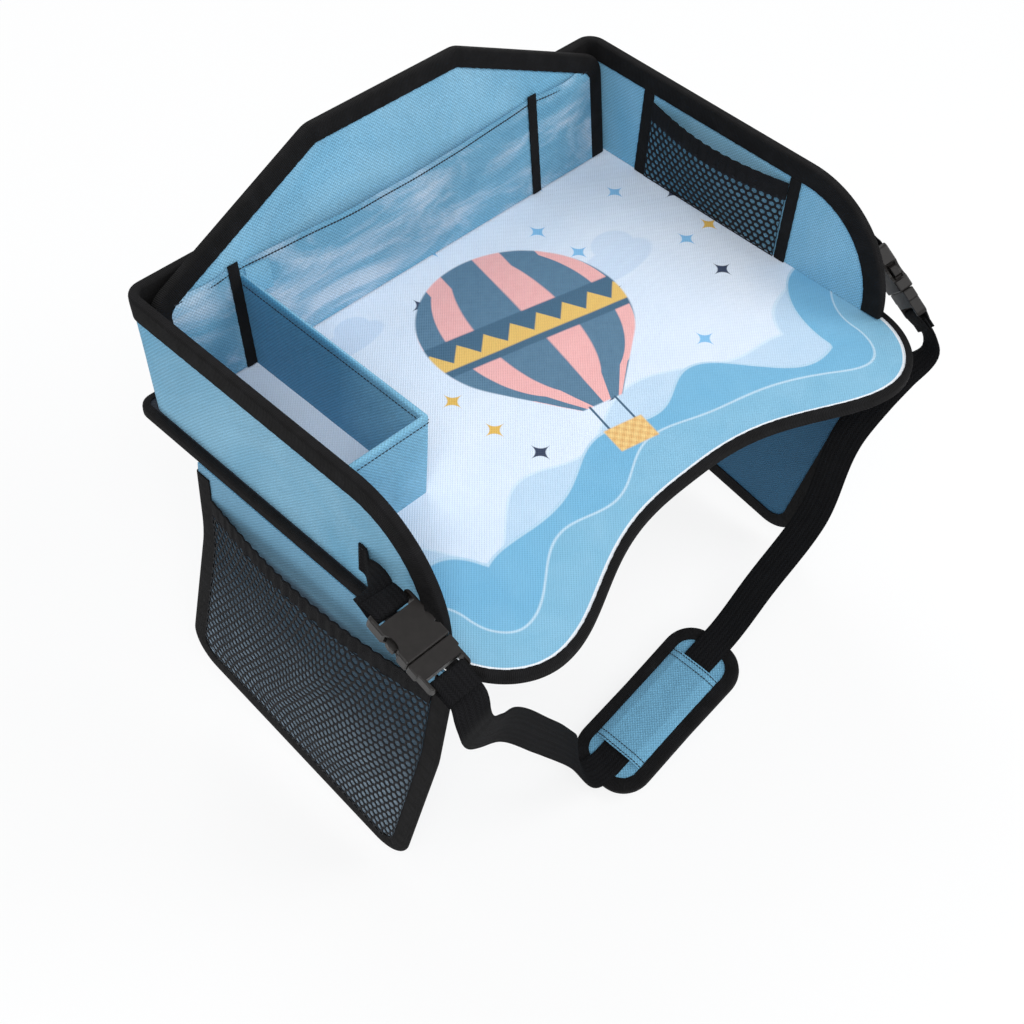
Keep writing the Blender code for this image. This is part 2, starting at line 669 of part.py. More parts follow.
def make_storage_box():
    edge_z = BASE_T + BOX_HEIGHT - SEAM_GAP - FABRIC_T
    lean = math.tan(math.radians(PANEL_LEAN_DEG))
    rear = Vector((DIVIDER_X, band_front_y(edge_z, SEAM_GAP), edge_z))
    corner = Vector((DIVIDER_X, BOX_FRONT_Y, edge_z))
    left = Vector((-TRAY_INNER_WIDTH / 2 + SEAM_GAP, BOX_FRONT_Y, edge_z))
    stations = [(rear, -RIGHT, Vector((0, lean, 1))), (corner, BACK - RIGHT, UP), (left, BACK, UP)]
    profile = fold_profile(BOX_BOARD_T, edge_z - WALL_FOOT_Z, FABRIC_T)
    sweep("box_sleeve", stations, profile, BLUE)
    foot, top = WALL_FOOT_Z + SEAM_GAP, edge_z - SEAM_GAP
    clearance = 2 * SEAM_GAP
    divider = [(BOX_FRONT_Y - BOX_BOARD_T / 2, foot), (band_front_y(foot, clearance), foot),
               (band_front_y(top, clearance), top), (BOX_FRONT_Y - BOX_BOARD_T / 2, top)]
    plate("box_divider_board", divider, BOX_BOARD_T, upright(DIVIDER_X), BOARD)
    stop = DIVIDER_X - BOX_BOARD_T / 2 - SEAM_GAP
    start = left.x + SEAM_GAP
    front = [(start, foot), (stop, foot), (stop, top), (start, top)]
    plate("box_front_board", front, BOX_BOARD_T, frame((0, BOX_FRONT_Y, 0), RIGHT, UP), BOARD)
    place = panel_place()
    tab_left = DIVIDER_X + BOX_SLEEVE_HALF + SEAM_GAP
    tab_top = BOX_HEIGHT + (BAND_HEIGHT - BOX_HEIGHT) / 2
    rows = []
    for i in range(BAND_ROWS + 1):
        height = tab_top - BOX_TAB_HEIGHT * (1 - i / BAND_ROWS)
        rows.append([place @ Vector((x, height, BAND_SEAT + FABRIC_T + SEAM_GAP
                                     + band_bow(x, height / BAND_HEIGHT, BAND_HALF)))
                     for x in (tab_left + BOX_TAB_WIDTH * k / BAND_ROWS for k in range(BAND_ROWS + 1))])
    sheet("box_tab", rows, FABRIC_T, BLUE)


def net(name, corners, pitch, place_on, surface):
    """A net of hexagonal gaps cut to a convex outline and laid on a surface, as one body of strands."""
    mesh = bmesh.new()
    radius = pitch / math.sqrt(3)
    low = [min(corner[i] for corner in corners) - pitch for i in (0, 1)]
    high = [max(corner[i] for corner in corners) + pitch for i in (0, 1)]
    for row in range(int((high[1] - low[1]) / (1.5 * radius)) + 1):
        for column in range(int((high[0] - low[0]) / pitch) + 1):
            centre = Vector((low[0] + (column + row % 2 / 2) * pitch, low[1] + row * 1.5 * radius))
            ring = [centre + Vector((math.sin(k * math.pi / 3), math.cos(k * math.pi / 3))) * radius
                    for k in range(6)]
            mesh.faces.new([mesh.verts.new((*point, 0)) for point in ring])
    bmesh.ops.remove_doubles(mesh, verts=mesh.verts, dist=radius / 20)
    for point, ahead in zip(corners, corners[1:] + corners[:1]):
        side = Vector((ahead[1] - point[1], point[0] - ahead[0], 0))
        everything = mesh.verts[:] + mesh.edges[:] + mesh.faces[:]
        bmesh.ops.bisect_plane(mesh, geom=everything, plane_co=(*point, 0), plane_no=side, clear_outer=True)
    bmesh.ops.remove_doubles(mesh, verts=mesh.verts, dist=radius / 2.5)
    bmesh.ops.dissolve_degenerate(mesh, edges=mesh.edges, dist=radius / 20)
    for vertex in mesh.verts:
        vertex.co = place_on(vertex.co.x, vertex.co.y)
    item = add(name, finished(mesh, name), surface)
    strands = item.modifiers.new("strands", "WIREFRAME")
    strands.thickness = NET_STRAND
    strands.use_even_offset = True
    strands.use_boundary = True
    strands.use_replace = True
    return item


def pocket_bulge(across_share, up_share):
    """How much of its bulge a pocket has, over its width and from its foot to its mouth."""
    across_share = min(max(across_share, 0.0), 1.0)
    return math.sin(math.pi * across_share) * math.sin(math.pi / 2 * min(max(up_share, 0.0), 1.0))


def make_side_pocket():
    wall_x = TRAY_INNER_WIDTH / 2
    back, front = BACK_FOOT_Y - SIDE_POCKET_BACK, BACK_FOOT_Y - SIDE_POCKET_FRONT
    foot, top = WALL_FOOT_Z, BASE_T + SIDE_POCKET_HEIGHT
    tape_top = BASE_T + WALL_HEIGHT - WALL_BINDING_FACE - SEAM_GAP
    for where, y in (("rear", back - SIDE_TAPE_WIDTH / 2), ("front", front + SIDE_TAPE_WIDTH / 2)):
        half = SIDE_TAPE_WIDTH / 2
        outline = [(y - half, foot), (y + half, foot), (y + half, tape_top), (y - half, tape_top)]
        tape_x = wall_x - SEAM_GAP - TAPE_T / 2
        plate(f"side_pocket_tape_{where}", outline, TAPE_T, upright(tape_x), BLACK_TAPE)
    start, stop = front + SIDE_TAPE_WIDTH + SEAM_GAP, back - SIDE_TAPE_WIDTH - SEAM_GAP
    mouth = top - ELASTIC_WIDTH

    def at(y, z):
        bulge = SIDE_POCKET_BULGE * pocket_bulge((y - start) / (stop - start), (z - foot) / (mouth - foot))
        return Vector((wall_x - NET_SEAT - bulge, y, z))

    edge = NET_STRAND / 2 + SEAM_GAP
    corners = [(start + edge, foot + edge), (stop - edge, foot + edge), (stop - edge, mouth - edge),
               (start + edge, mouth - edge)]
    net("side_pocket_net", corners, SIDE_NET_PITCH, at, NET)
    rows = [[at(start + (stop - start) * i / 12, z) for i in range(13)] for z in (mouth, top)]
    sheet("side_pocket_elastic", rows, ELASTIC_T, BLACK_TAPE)


def flap_corners():
    """A flap's edge without its top, (y, depth below the hinge), from the front top round to the back top."""
    foot = BACK_FOOT_Y
    return [(foot - FLAP_FRONT_TOP, -FLAP_BINDING_START, 0),
            (foot - FLAP_FRONT_KNEE, -FLAP_KNEE_DEPTH, FLAP_SIDE_R),
            (foot - FLAP_FRONT_FOOT, -FLAP_DEPTH_FRONT, FLAP_CORNER_R),
            (foot - FLAP_BACK_FOOT, -FLAP_DEPTH_BACK, FLAP_CORNER_R),
            (foot - FLAP_BACK_NECK, -FLAP_NECK_DEPTH, FLAP_SIDE_R),
            (foot - FLAP_BACK_NECK, -FLAP_BINDING_START, 0)]


def flap_place(sign, depth=0.0):
    """The flap's plane on the left (-1) or right (1): X to the back, Y up, with its hinge at Y 0."""
    return frame((sign * (FLAP_AXIS_X + depth), 0, FLAP_AXIS_Z), BACK, UP)


def make_flap(side, sign):
    edge = rounded_path(flap_corners(), CORNER_STEPS, False)
    outline = edge + [(edge[-1][0], FLAP_TOP_RISE), (edge[0][0], FLAP_TOP_RISE)]
    panel = plate(f"{side}_flap_panel", outline, FLAP_T, flap_place(sign), BLUE)
    band = binding(f"{side}_flap_binding", edge, FLAP_T, FLAP_BINDING_FACE, flap_place(sign), BLACK_TAPE,
                   False)
    return [panel, band]


def crossing(path, across, level):
    """Where a path first crosses a level of one of its axes: the value on its other axis."""
    for first, second in zip(path, path[1:]):
        if min(first[across], second[across]) <= level <= max(first[across], second[across]):
            part = (level - first[across]) / (second[across] - first[across] or 1)
            return first[1 - across] + (second[1 - across] - first[1 - across]) * part
    return path[0][1 - across]


def flap_span(margin):
    """Gives, for a depth below the hinge, the front and back limits (y) inside the flap's binding."""
    edge = grown(rounded_path(flap_corners(), CORNER_STEPS, False), -FLAP_BINDING_FACE - margin, False)
    lowest_front, lowest_back = -FLAP_DEPTH_FRONT + 2 * FLAP_CORNER_R, -FLAP_DEPTH_BACK + 2 * FLAP_CORNER_R

    def span(depth):
        front = crossing(edge, 1, max(min(-depth, -FLAP_BINDING_START), lowest_front))
        back = crossing(edge[::-1], 1, max(min(-depth, -FLAP_BINDING_START), lowest_back))
        return front, back

    return span


def make_left_flap():
    items = make_flap("left", -1)
    seat = FLAP_T / 2 + NET_SEAT
    top = FLAP_POCKET_TOP + ELASTIC_WIDTH
    margin = NET_STRAND + 3 * SEAM_GAP
    span = flap_span(margin)
    front_depth = FLAP_DEPTH_FRONT - FLAP_BINDING_FACE - 2 * margin
    back_depth = FLAP_DEPTH_BACK - FLAP_BINDING_FACE - 2 * margin
    width = FLAP_FRONT_KNEE - FLAP_BACK_NECK - 2 * FLAP_BINDING_FACE
    height = (front_depth + back_depth) / 2 - top

    def at(across, up):
        """The net's place for its own flat coordinates, from its front foot."""
        share, rise = across / width, up / height
        floor = front_depth + (back_depth - front_depth) * share
        depth = floor + (top - floor) * rise
        front, back = span(depth)
        bulge = FLAP_NET_BULGE * pocket_bulge(share, rise)
        return Vector((-FLAP_AXIS_X - seat - bulge, front + (back - front) * share, FLAP_AXIS_Z - depth))

    cut = FLAP_CORNER_R
    corners = [(cut, 0), (width - cut, 0), (width, cut), (width, height), (0, height), (0, cut)]
    items.append(net("left_flap_net", corners, NET_PITCH, at, NET))
    rows = []
    for up in (height + NET_STRAND, height + NET_STRAND + ELASTIC_WIDTH):
        rows.append([at(width * i / 14, up) for i in range(15)])
    items.append(sheet("left_flap_elastic", rows, ELASTIC_T, BLACK_TAPE))
    return items


def make_right_flap():
    items = make_flap("right", 1)
    seat = FLAP_T / 2 + SEAM_GAP + FABRIC_T / 2
    top, foot = FLAP_POCKET_TOP, FLAP_DEPTH_BACK - FLAP_BINDING_FACE - FLAP_POCKET_MARGIN
    span = flap_span(FLAP_POCKET_MARGIN)

    def pocket_row(depth):
        """From the flap's front out over the gusset, along the pocket's face and back in to the flap."""
        open_share = (foot - depth) / (foot - top)
        front, back = span(depth)
        out = FLAP_POCKET_FOOT + (FLAP_POCKET_DEPTH - FLAP_POCKET_FOOT) * math.sin(math.pi / 2 * open_share)
        plan = [(front, 0), (front, out / 2), (front, out), (front + (back - front) / 3, out),
                (front + (back - front) * 2 / 3, out), (back, out), (back, out / 2), (back, 0)]
        return [Vector((FLAP_AXIS_X + seat + x, y, FLAP_AXIS_Z - depth)) for y, x in plan]

    hem = top + FLAP_POCKET_HEM
    depths = [foot + (hem + SEAM_GAP - foot) * i / 8 for i in range(9)]
    items.append(sheet("right_flap_pocket", [pocket_row(depth) for depth in depths], FABRIC_T, BLUE))
    items.append(sheet("right_flap_pocket_hem", [pocket_row(hem), pocket_row(top)], FABRIC_T, BLUE))
    return items


def make_flaps():
    for side, sign, items in (("left", -1, make_left_flap()), ("right", 1, make_right_flap())):
        hinge = axis_empty(f"{side}_flap_hinge", flap_place(sign))
        carry(items, hinge)


def cutter_box(name, low, high):
    mesh = bmesh.new()
    bmesh.ops.create_cube(mesh, size=1)
    low, high = Vector(low), Vector(high)
    size = high - low
    bmesh.ops.scale(mesh, vec=size, verts=mesh.verts)
    bmesh.ops.translate(mesh, vec=(low + high) / 2, verts=mesh.verts)
    item = add(name, finished(mesh, name), BLACK_PLASTIC, CUTTERS)
    return hidden(item)


def hidden(item):
    item.hide_render = True
    item.display_type = "WIRE"
    return item


def boolean(item, other, operation):
    step = item.modifiers.new(f"{operation.lower()} {other.name}", "BOOLEAN")
    step.operation = operation
    step.object = other
    return step


def eased(item, width):
    """Rounds the long edges of a moulded piece."""
    edge = item.modifiers.new("eased edges", "BEVEL")
    edge.width = width
    edge.segments = 2
    edge.limit_method = "ANGLE"
    edge.angle_limit = math.radians(50)
    return applied(item)


def webbing_slot(name, start):
    """Cutters for a webbing slot and for the clear space above and below its bar."""
    half = WEBBING_WIDTH / 2 + SLOT_SIDE_CLEARANCE
    deep = BUCKLE_T
    return cutter_box(name, (start, -half, -deep), (start + SLOT_LENGTH, half, deep))


def bar_recess(name, start, end, sign):
    half = WEBBING_WIDTH / 2 + SLOT_SIDE_CLEARANCE
    near, far = BAR_T / 2, BUCKLE_T
    low, high = sorted((sign * near, sign * far))
    return cutter_box(name, (start, -half, low), (end, half, high))


def female_mesh():
    """The socket half: webbing bar, hollow body open at its mouth, and arched windows in both sides."""
    half, r = BUCKLE_WIDTH / 2, BUCKLE_CORNER_R
    neck = half * FEMALE_NECK_SHARE
    corners = [(0, -neck, r), (FEMALE_LENGTH, -half, BUCKLE_EDGE_R), (FEMALE_LENGTH, half, BUCKLE_EDGE_R),
               (0, neck, r)]
    blank = plate("female", rounded_path(corners, BUCKLE_CORNER_STEPS, True), BUCKLE_T, LEVEL,
                  BLACK_PLASTIC, CUTTERS)
    body = eased(as_mesh(blank), BUCKLE_EDGE_R)
    inside = half - FEMALE_WALL
    hollow = BUCKLE_T / 2 - FEMALE_WALL
    overrun = BUCKLE_CORNER_R
    socket = cutter_box("socket", (SOCKET_START, -inside, -hollow), (FEMALE_LENGTH + overrun, inside, hollow))
    boolean(body, socket, "DIFFERENCE")
    boolean(body, webbing_slot("female_slot", BAR_WIDTH), "DIFFERENCE")
    for sign in (-1, 1):
        recess = bar_recess(f"female_recess_{sign}", -overrun, BAR_WIDTH + SLOT_LENGTH, sign)
        boolean(body, recess, "DIFFERENCE")
        centre = (WINDOW_CENTRE, sign * (half + WINDOW_DEPTH / 2))
        reach = WINDOW_DEPTH * WINDOW_REACH_SHARE
        window = ellipse_arc(centre, (WINDOW_LENGTH / 2, reach), 0, 360, WINDOW_STEPS)[:-1]
        cutter = plate(f"window_{sign}", window, 2 * BUCKLE_T, LEVEL, BLACK_PLASTIC, CUTTERS)
        boolean(body, hidden(as_mesh(cutter)), "DIFFERENCE")
    return hidden(applied(body)).data


def male_mesh():
    """The plug half: shoulder, guide tongue, notches for the prong roots, and the webbing bar's frame."""
    half, r = BUCKLE_WIDTH / 2, BUCKLE_CORNER_R
    step_x, neck = SHOULDER_X + SHOULDER_LENGTH, half * MALE_NECK_SHARE
    corners = [(SHOULDER_X, -half, BUCKLE_EDGE_R), (step_x, -half, BUCKLE_EDGE_R), (step_x, -neck, 0),
               (MALE_END_X, -neck, r), (MALE_END_X, neck, r), (step_x, neck, 0),
               (step_x, half, BUCKLE_EDGE_R), (SHOULDER_X, half, BUCKLE_EDGE_R)]
    blank = plate("male", rounded_path(corners, BUCKLE_CORNER_STEPS, True), MALE_T, LEVEL,
                  BLACK_PLASTIC, CUTTERS)
    body = eased(as_mesh(blank), BUCKLE_EDGE_R)
    tongue = cutter_box("tongue", (SHOULDER_X - TONGUE_LENGTH, -TONGUE_WIDTH / 2, -TONGUE_T / 2),
                        (SHOULDER_X + SHOULDER_LENGTH / 2, TONGUE_WIDTH / 2, TONGUE_T / 2))
    boolean(body, tongue, "UNION")
    bar = MALE_END_X - BAR_WIDTH
    boolean(body, webbing_slot("male_slot", bar - SLOT_LENGTH), "DIFFERENCE")
    for sign in (-1, 1):
        recess = bar_recess(f"male_recess_{sign}", bar - SLOT_LENGTH, MALE_END_X + BUCKLE_CORNER_R, sign)
        boolean(body, recess, "DIFFERENCE")
        reach = PRONG_ROOT_LENGTH / 2 + 2 * PRONG_CLEARANCE
        low, high = sorted((sign * (PRONG_ROOT_OFFSET - reach), sign * (PRONG_ROOT_OFFSET + reach)))
        deep = PRONG_T / 2 + PRONG_CLEARANCE
        notch = cutter_box(f"notch_{sign}", (SHOULDER_X - BUCKLE_CORNER_R, low, -deep),
                           (SHOULDER_X + PRONG_ROOT_LENGTH + 2 * PRONG_CLEARANCE, high, deep))
        boolean(body, notch, "DIFFERENCE")
    return hidden(applied(body)).data


def prong_mesh():
    """A spring prong about its root: an arm, and a barbed thumb tab that fills the socket's side window."""
    reach, half = PRONG_LENGTH, BUCKLE_WIDTH / 2 - PRONG_ROOT_OFFSET
    root = PRONG_ROOT_LENGTH / PRONG_LENGTH / 2
    outline = [(x * reach, y * half) for x, y in ((root, -PRONG_ROOT_HALF_SHARE),) + PRONG_SHARES]
    outline[1] = (root * reach, outline[1][1])
    body = as_mesh(plate("prong", outline, PRONG_T, LEVEL, BLACK_PLASTIC, CUTTERS))
    return hidden(eased(body, PRONG_EDGE_R)).data


def buckle_place(side, sizes):
    """The buckle's axes: X along the webbing, forward and down, Y across it with its inner edge high."""
    sign = -1 if side == "left" else 1
    roll, pitch = math.radians(sizes["roll_deg"]), math.radians(sizes["pitch_deg"])
    across = Vector((-sign * math.cos(roll), 0, math.sin(roll)))
    level = frame((0, 0, 0), -BACK, across)
    out = sign * (TRAY_INNER_WIDTH / 2 + sizes["out"])
    origin = Vector((out, BACK_FOOT_Y - sizes["back"], BASE_T + sizes["up"]))
    return Matrix.Translation(origin) @ Matrix.Rotation(pitch, 4, "X") @ level


def make_buckle(side, sizes, meshes):
    place = buckle_place(side, sizes)
    for kind in ("female", "male"):
        item = bpy.data.objects.new(f"{side}_buckle_{kind}", meshes[kind])
        TRAY.objects.link(item)
        item.matrix_world = place
    for where, sign in (("upper", 1), ("lower", -1)):
        item = bpy.data.objects.new(f"{side}_buckle_{where}_prong", meshes[f"{where}_prong"])
        TRAY.objects.link(item)
        item.matrix_world = place @ Matrix.Translation((PRONG_ROOT_X, sign * PRONG_ROOT_OFFSET, 0))
    return place


def turned_over(data):
    """The mesh mirrored across its length, with its faces still outwards."""
    mesh = bmesh.new()
    mesh.from_mesh(data)
    bmesh.ops.scale(mesh, vec=(1, -1, 1), verts=mesh.verts)
    made = finished(mesh, data.name + "_turned")
    made.materials.append(BLACK_PLASTIC)
    return made


def smooth_spine(points, widths):
    """Stations (point, normal, width direction) on a smooth curve through points, its width turned evenly."""
    points = [Vector(point) for point in points]
    aligned = [Vector(widths[0]).normalized()]
    for width in widths[1:]:
        width = Vector(width).normalized()
        aligned.append(width if width.dot(aligned[-1]) >= 0 else -width)
    runs = [ahead - point for point, ahead in zip(points, points[1:])]
    slopes = [(behind.normalized() * ahead.length + ahead.normalized() * behind.length).normalized()
              for behind, ahead in zip(runs[:1] + runs, runs + runs[-1:])]
    places, turns = [], []
    for i, run in enumerate(runs):
        bend = slopes[i].angle(slopes[i + 1]) + slopes[i].angle(run) + aligned[i].angle(aligned[i + 1])
        steps = max(math.ceil(run.length / WEBBING_STEP), math.ceil(bend / math.radians(WEBBING_BEND_DEG)), 1)
        for k in range(steps):
            t = k / steps
            start = points[i] * (2 * t**3 - 3 * t**2 + 1) + slopes[i] * run.length * (t**3 - 2 * t**2 + t)
            end = points[i + 1] * (3 * t**2 - 2 * t**3) + slopes[i + 1] * run.length * (t**3 - t**2)
            places.append(start + end)
            turns.append(aligned[i].lerp(aligned[i + 1], 3 * t**2 - 2 * t**3))
    places.append(points[-1])
    turns.append(aligned[-1])
    stations = []
    for i, place in enumerate(places):
        along = (places[min(i + 1, len(places) - 1)] - places[max(i - 1, 0)]).normalized()
        width = (turns[i] - along * turns[i].dot(along)).normalized()
        stations.append((place, width.cross(along), width))
    return stations


def webbing_loop(name, spine, spread, towards, fold_from, onward):
    """Webbing that runs along a spine to a bar, turns round it and comes back on the spine's other side.

    The spine ends at the bar's turning centre, spread gives each station's distance from it, and the ply that
    comes back ends at the station fold_from. Onward is true where the spine runs the way of the webbing that
    it lies on."""
    stations = [(place + normal * gap, normal, width) for (place, normal, width), gap in zip(spine, spread)]
    centre, normal, width = spine[-1]
    for i in range(1, BAR_TURN_STEPS):
        turn = math.pi * i / BAR_TURN_STEPS
        spoke = normal * math.cos(turn) + towards * math.sin(turn)
        stations.append((centre + spoke * spread[-1], spoke, width))
    out = len(stations) - 2
    for (place, normal, width), gap in list(zip(spine, spread))[:fold_from - 1 if fold_from else None:-1]:
        stations.append((place - normal * gap, -normal, width))
    ways = [onward] * out + [not onward] * (len(stations) - 1 - out)
    return ribbon(name, stations, ways, WEBBING)


def make_wall_tab(side, place):
    """The webbing tab sewn flat on the wall, which twists to the buckle and is folded round its bar."""
    sign = -1 if side == "left" else 1
    wall = sign * (TRAY_INNER_WIDTH / 2 + WALL_T + SEAM_GAP + WEBBING_T / 2)
    start = Vector((wall, BACK_FOOT_Y - WALL_TAB["back"], BASE_T + WALL_TAB["up"]))
    end = start - BACK * TAB_FLAT_LENGTH
    behind = place @ Vector((-2 * BAR_T, 0, 0))
    across = place.to_3x3() @ BACK
    away = end - BACK * TAB_LIFT_RUN + RIGHT * sign * TAB_LIFT
    points = [start, end, away, behind, place @ Vector((-BAR_T, 0, 0)),
              place @ Vector((BAR_WIDTH - WEBBING_T / 2, 0, 0))]
    widths = [UP, UP, UP, across, across, across]
    spine = smooth_spine(points, widths)
    distances = [(point - spine[-1][0]).length for point, _, _ in spine]
    spread = [LOOP_RADIUS * min(max(LOOP_EASE - distance, 0) / (LOOP_EASE - BAR_T), 1)
              for distance in distances]
    fold_from = min(i for i, distance in enumerate(distances) if distance < 2 * BAR_T + BAR_WIDTH)
    webbing_loop(f"{side}_wall_tab", spine, spread, place.to_3x3() @ RIGHT, fold_from, True)


def widened(route):
    """The route's points and widths, carried outwards with the side walls of a wider tray."""
    extra = TRAY_INNER_WIDTH / 2 - ROUTE_HALF_WIDTH
    moved = []
    for (x, y, z), width in route:
        share = max(min(x / ROUTE_HALF_WIDTH, 1), -1)
        moved.append(((x + extra * share, y, z), width))
    return moved


def strap_spine(left, right):
    """The waist strap's stations from the left buckle's bar, under the pad's sleeve, to the right one's."""
    pad = pad_place()
    left_route, right_route = widened(LEFT_ROUTE), widened(RIGHT_ROUTE)
    start = MALE_END_X + STRAP_START
    lead = [start, start + STRAP_LEAD, start + 1.2 * STRAP_LEAD]
    points = [left @ Vector((x, 0, 0)) for x in lead] + [point for point, _ in left_route]
    widths = [left.to_3x3() @ BACK] * len(lead) + [width for _, width in left_route]
    for x in (-STRAIGHT_LEFT, -STRAIGHT_LEFT / 2, STRAIGHT_RIGHT / 2, STRAIGHT_RIGHT):
        points.append(pad @ Vector((x, 0, PAD_WEBBING_LIFT)))
        widths.append(BACK)
    points += [point for point, _ in right_route] + [right @ Vector((x, 0, 0)) for x in reversed(lead)]
    widths += [width for _, width in right_route] + [right.to_3x3() @ BACK] * len(lead)
    return smooth_spine(points, widths)


def make_strap(left, right):
    spine = strap_spine(left, right)
    ribbon("strap_webbing", spine, [True] * len(spine), WEBBING)
    length = sum((b[0] - a[0]).length for a, b in zip(spine, spine[1:]))
    print(f"Strap between the buckle bars: {length:.3f} m")
    cover = WEBBING_T + FOLD_CLEARANCE
    for side, place, stations in (("left", left, spine), ("right", right, spine[::-1])):
        kept = [stations[0]]
        while (kept[-1][0] - kept[0][0]).length < FOLD_LENGTH:
            kept.append(stations[len(kept)])
        across, normal = place.to_3x3() @ BACK, place.to_3x3() @ UP
        across = across if across.dot(kept[0][2]) > 0 else -across
        normal = normal if normal.dot(kept[0][1]) > 0 else -normal
        bar = [(place @ Vector((x, 0, 0)), normal, across)
               for x in (MALE_END_X, MALE_END_X - BAR_WIDTH + WEBBING_T / 2)]
        spread = [cover] * (len(kept) - 1) + [LOOP_RADIUS * 0.8, LOOP_RADIUS, LOOP_RADIUS]
        backwards = -(place.to_3x3() @ RIGHT)
        webbing_loop(f"{side}_strap_fold", kept[::-1] + bar, spread, backwards, 0, side == "right")


def pad_place():
    """The shoulder pad's axes: X along the webbing, Y to the back, Z out of its face."""
    tilt = math.radians(PAD_TILT_DEG)
    return frame(PAD_CENTRE, (math.cos(tilt), 0, math.sin(tilt)), BACK)


def pad_outline():
    half_length, half_width = PAD_LENGTH / 2, PAD_WIDTH / 2
    corners = [(x * half_length, y * half_width, PAD_CORNER_R if x else 0)
               for x, y in ((-1, -1), (0, -1), (1, -1), (1, 1), (0, 1), (-1, 1))]
    outline = rounded_path(corners, CORNER_STEPS, True)
    drawn = []
    for x, y in outline:
        pull = PAD_DRAWN_IN * (1 - (x / half_length) ** 2) * y / half_width
        drawn.append((x, y - pull))
    return drawn


def make_pad():
    place = pad_place()
    outline = pad_outline()
    cushion = bmesh.new()
    insets = [0, PAD_BINDING_FACE + SEAM_GAP, PAD_BINDING_FACE + PAD_CROWN_REACH / 3,
              PAD_BINDING_FACE + PAD_CROWN_REACH]
    shares = [0, 0, PAD_SHOULDER_SHARE, 1]
    rings = []
    for sign, crown in ((1, PAD_CROWN), (-1, PAD_BELLY)):
        for inset, share in zip(insets, shares):
            height = sign * (PAD_EDGE_T / 2 + crown * share)
            rings.append([cushion.verts.new(place @ Vector((*point, height)))
                          for point in grown(outline, -inset)])
    top, bottom = rings[:4], rings[4:]
    layers = top[::-1] + bottom
    for first, second in zip(layers, layers[1:]):
        for i in range(len(first)):
            j = (i + 1) % len(first)
            cushion.faces.new((first[i], first[j], second[j], second[i]))
    cushion.faces.new(top[-1])
    cushion.faces.new(bottom[-1])
    body = add("pad_cushion", finished(cushion, "pad_cushion"), BLUE)
    edge = binding("pad_binding", outline, PAD_EDGE_T, PAD_BINDING_FACE, place, BLACK_TAPE, True)
    lift = PAD_WEBBING_LIFT + WEBBING_T / 2 + SLEEVE_CLEARANCE + FABRIC_T / 2
    seat = PAD_EDGE_T / 2 + SEAM_GAP * 2 + FABRIC_T / 2
    inner = WEBBING_WIDTH / 2 + 2 * SLEEVE_CLEARANCE
    outer = min(SLEEVE_WIDTH / 2, PAD_WIDTH / 2 - PAD_BINDING_FACE - PAD_DRAWN_IN - SEAM_GAP)
    slope, rise = (inner + outer) / 2, (seat + lift) / 2 + SEAM_GAP
    section = [(-outer, seat), (-slope, rise), (-inner, lift), (0, lift + SEAM_GAP),
               (inner, lift), (slope, rise), (outer, seat)]
    rows = [[place @ Vector((SLEEVE_LENGTH * (i / SLEEVE_STEPS - 0.5), y, z)) for y, z in section]
            for i in range(SLEEVE_STEPS + 1)]
    sleeve = sheet("pad_sleeve", rows, FABRIC_T, BLUE)
    slide = axis_empty("shoulder_pad_slide", place)
    carry([body, edge, sleeve], slide)


clear_scene()
TRAY = collection("car_seat_tray_table")
CUTTERS = collection("cutters")
CUTTERS.hide_render = True
BLUE = material("blue oxford cloth", (0.22, 0.47, 0.64), 0.8)
NAVY = material("dark blue cloth", (0.035, 0.10, 0.18), 0.85)
PRINT = material("printed oxford cloth", (0.72, 0.81, 0.90), 0.75)
BLACK_TAPE = material("black binding tape", (0.012, 0.012, 0.013), 0.85)
NET = material("black pocket mesh", (0.015, 0.017, 0.022), 0.8)
WEBBING = material("black webbing", (0.010, 0.010, 0.011), 0.8)
BLACK_PLASTIC = material("black acetal plastic", (0.030, 0.026, 0.025), 0.4)
BOARD = material("stiff board", (0.55, 0.55, 0.53), 0.7)

make_base()
make_walls()
make_back_panel()
make_pocket_band()
make_storage_box()
make_side_pocket()
make_flaps()
BUCKLE_MESHES = {"female": female_mesh(), "male": male_mesh(), "upper_prong": prong_mesh()}
BUCKLE_MESHES["lower_prong"] = turned_over(BUCKLE_MESHES["upper_prong"])
LEFT_PLACE = make_buckle("left", LEFT_BUCKLE, BUCKLE_MESHES)
RIGHT_PLACE = make_buckle("right", RIGHT_BUCKLE, BUCKLE_MESHES)
make_wall_tab("left", LEFT_PLACE)
make_wall_tab("right", RIGHT_PLACE)
make_strap(LEFT_PLACE, RIGHT_PLACE)
make_pad()
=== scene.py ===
"""A child's car seat play tray of padded oxford cloth over stiff board, dressed piece by piece in sewing order.

Metres, in the model's own frame: X along the tray's width, Y from the child's belly to the tall back, Z up."""
import math

import bmesh
import bpy
import numpy as np
from mathutils import Matrix, Vector
from mathutils.geometry import delaunay_2d_cdt


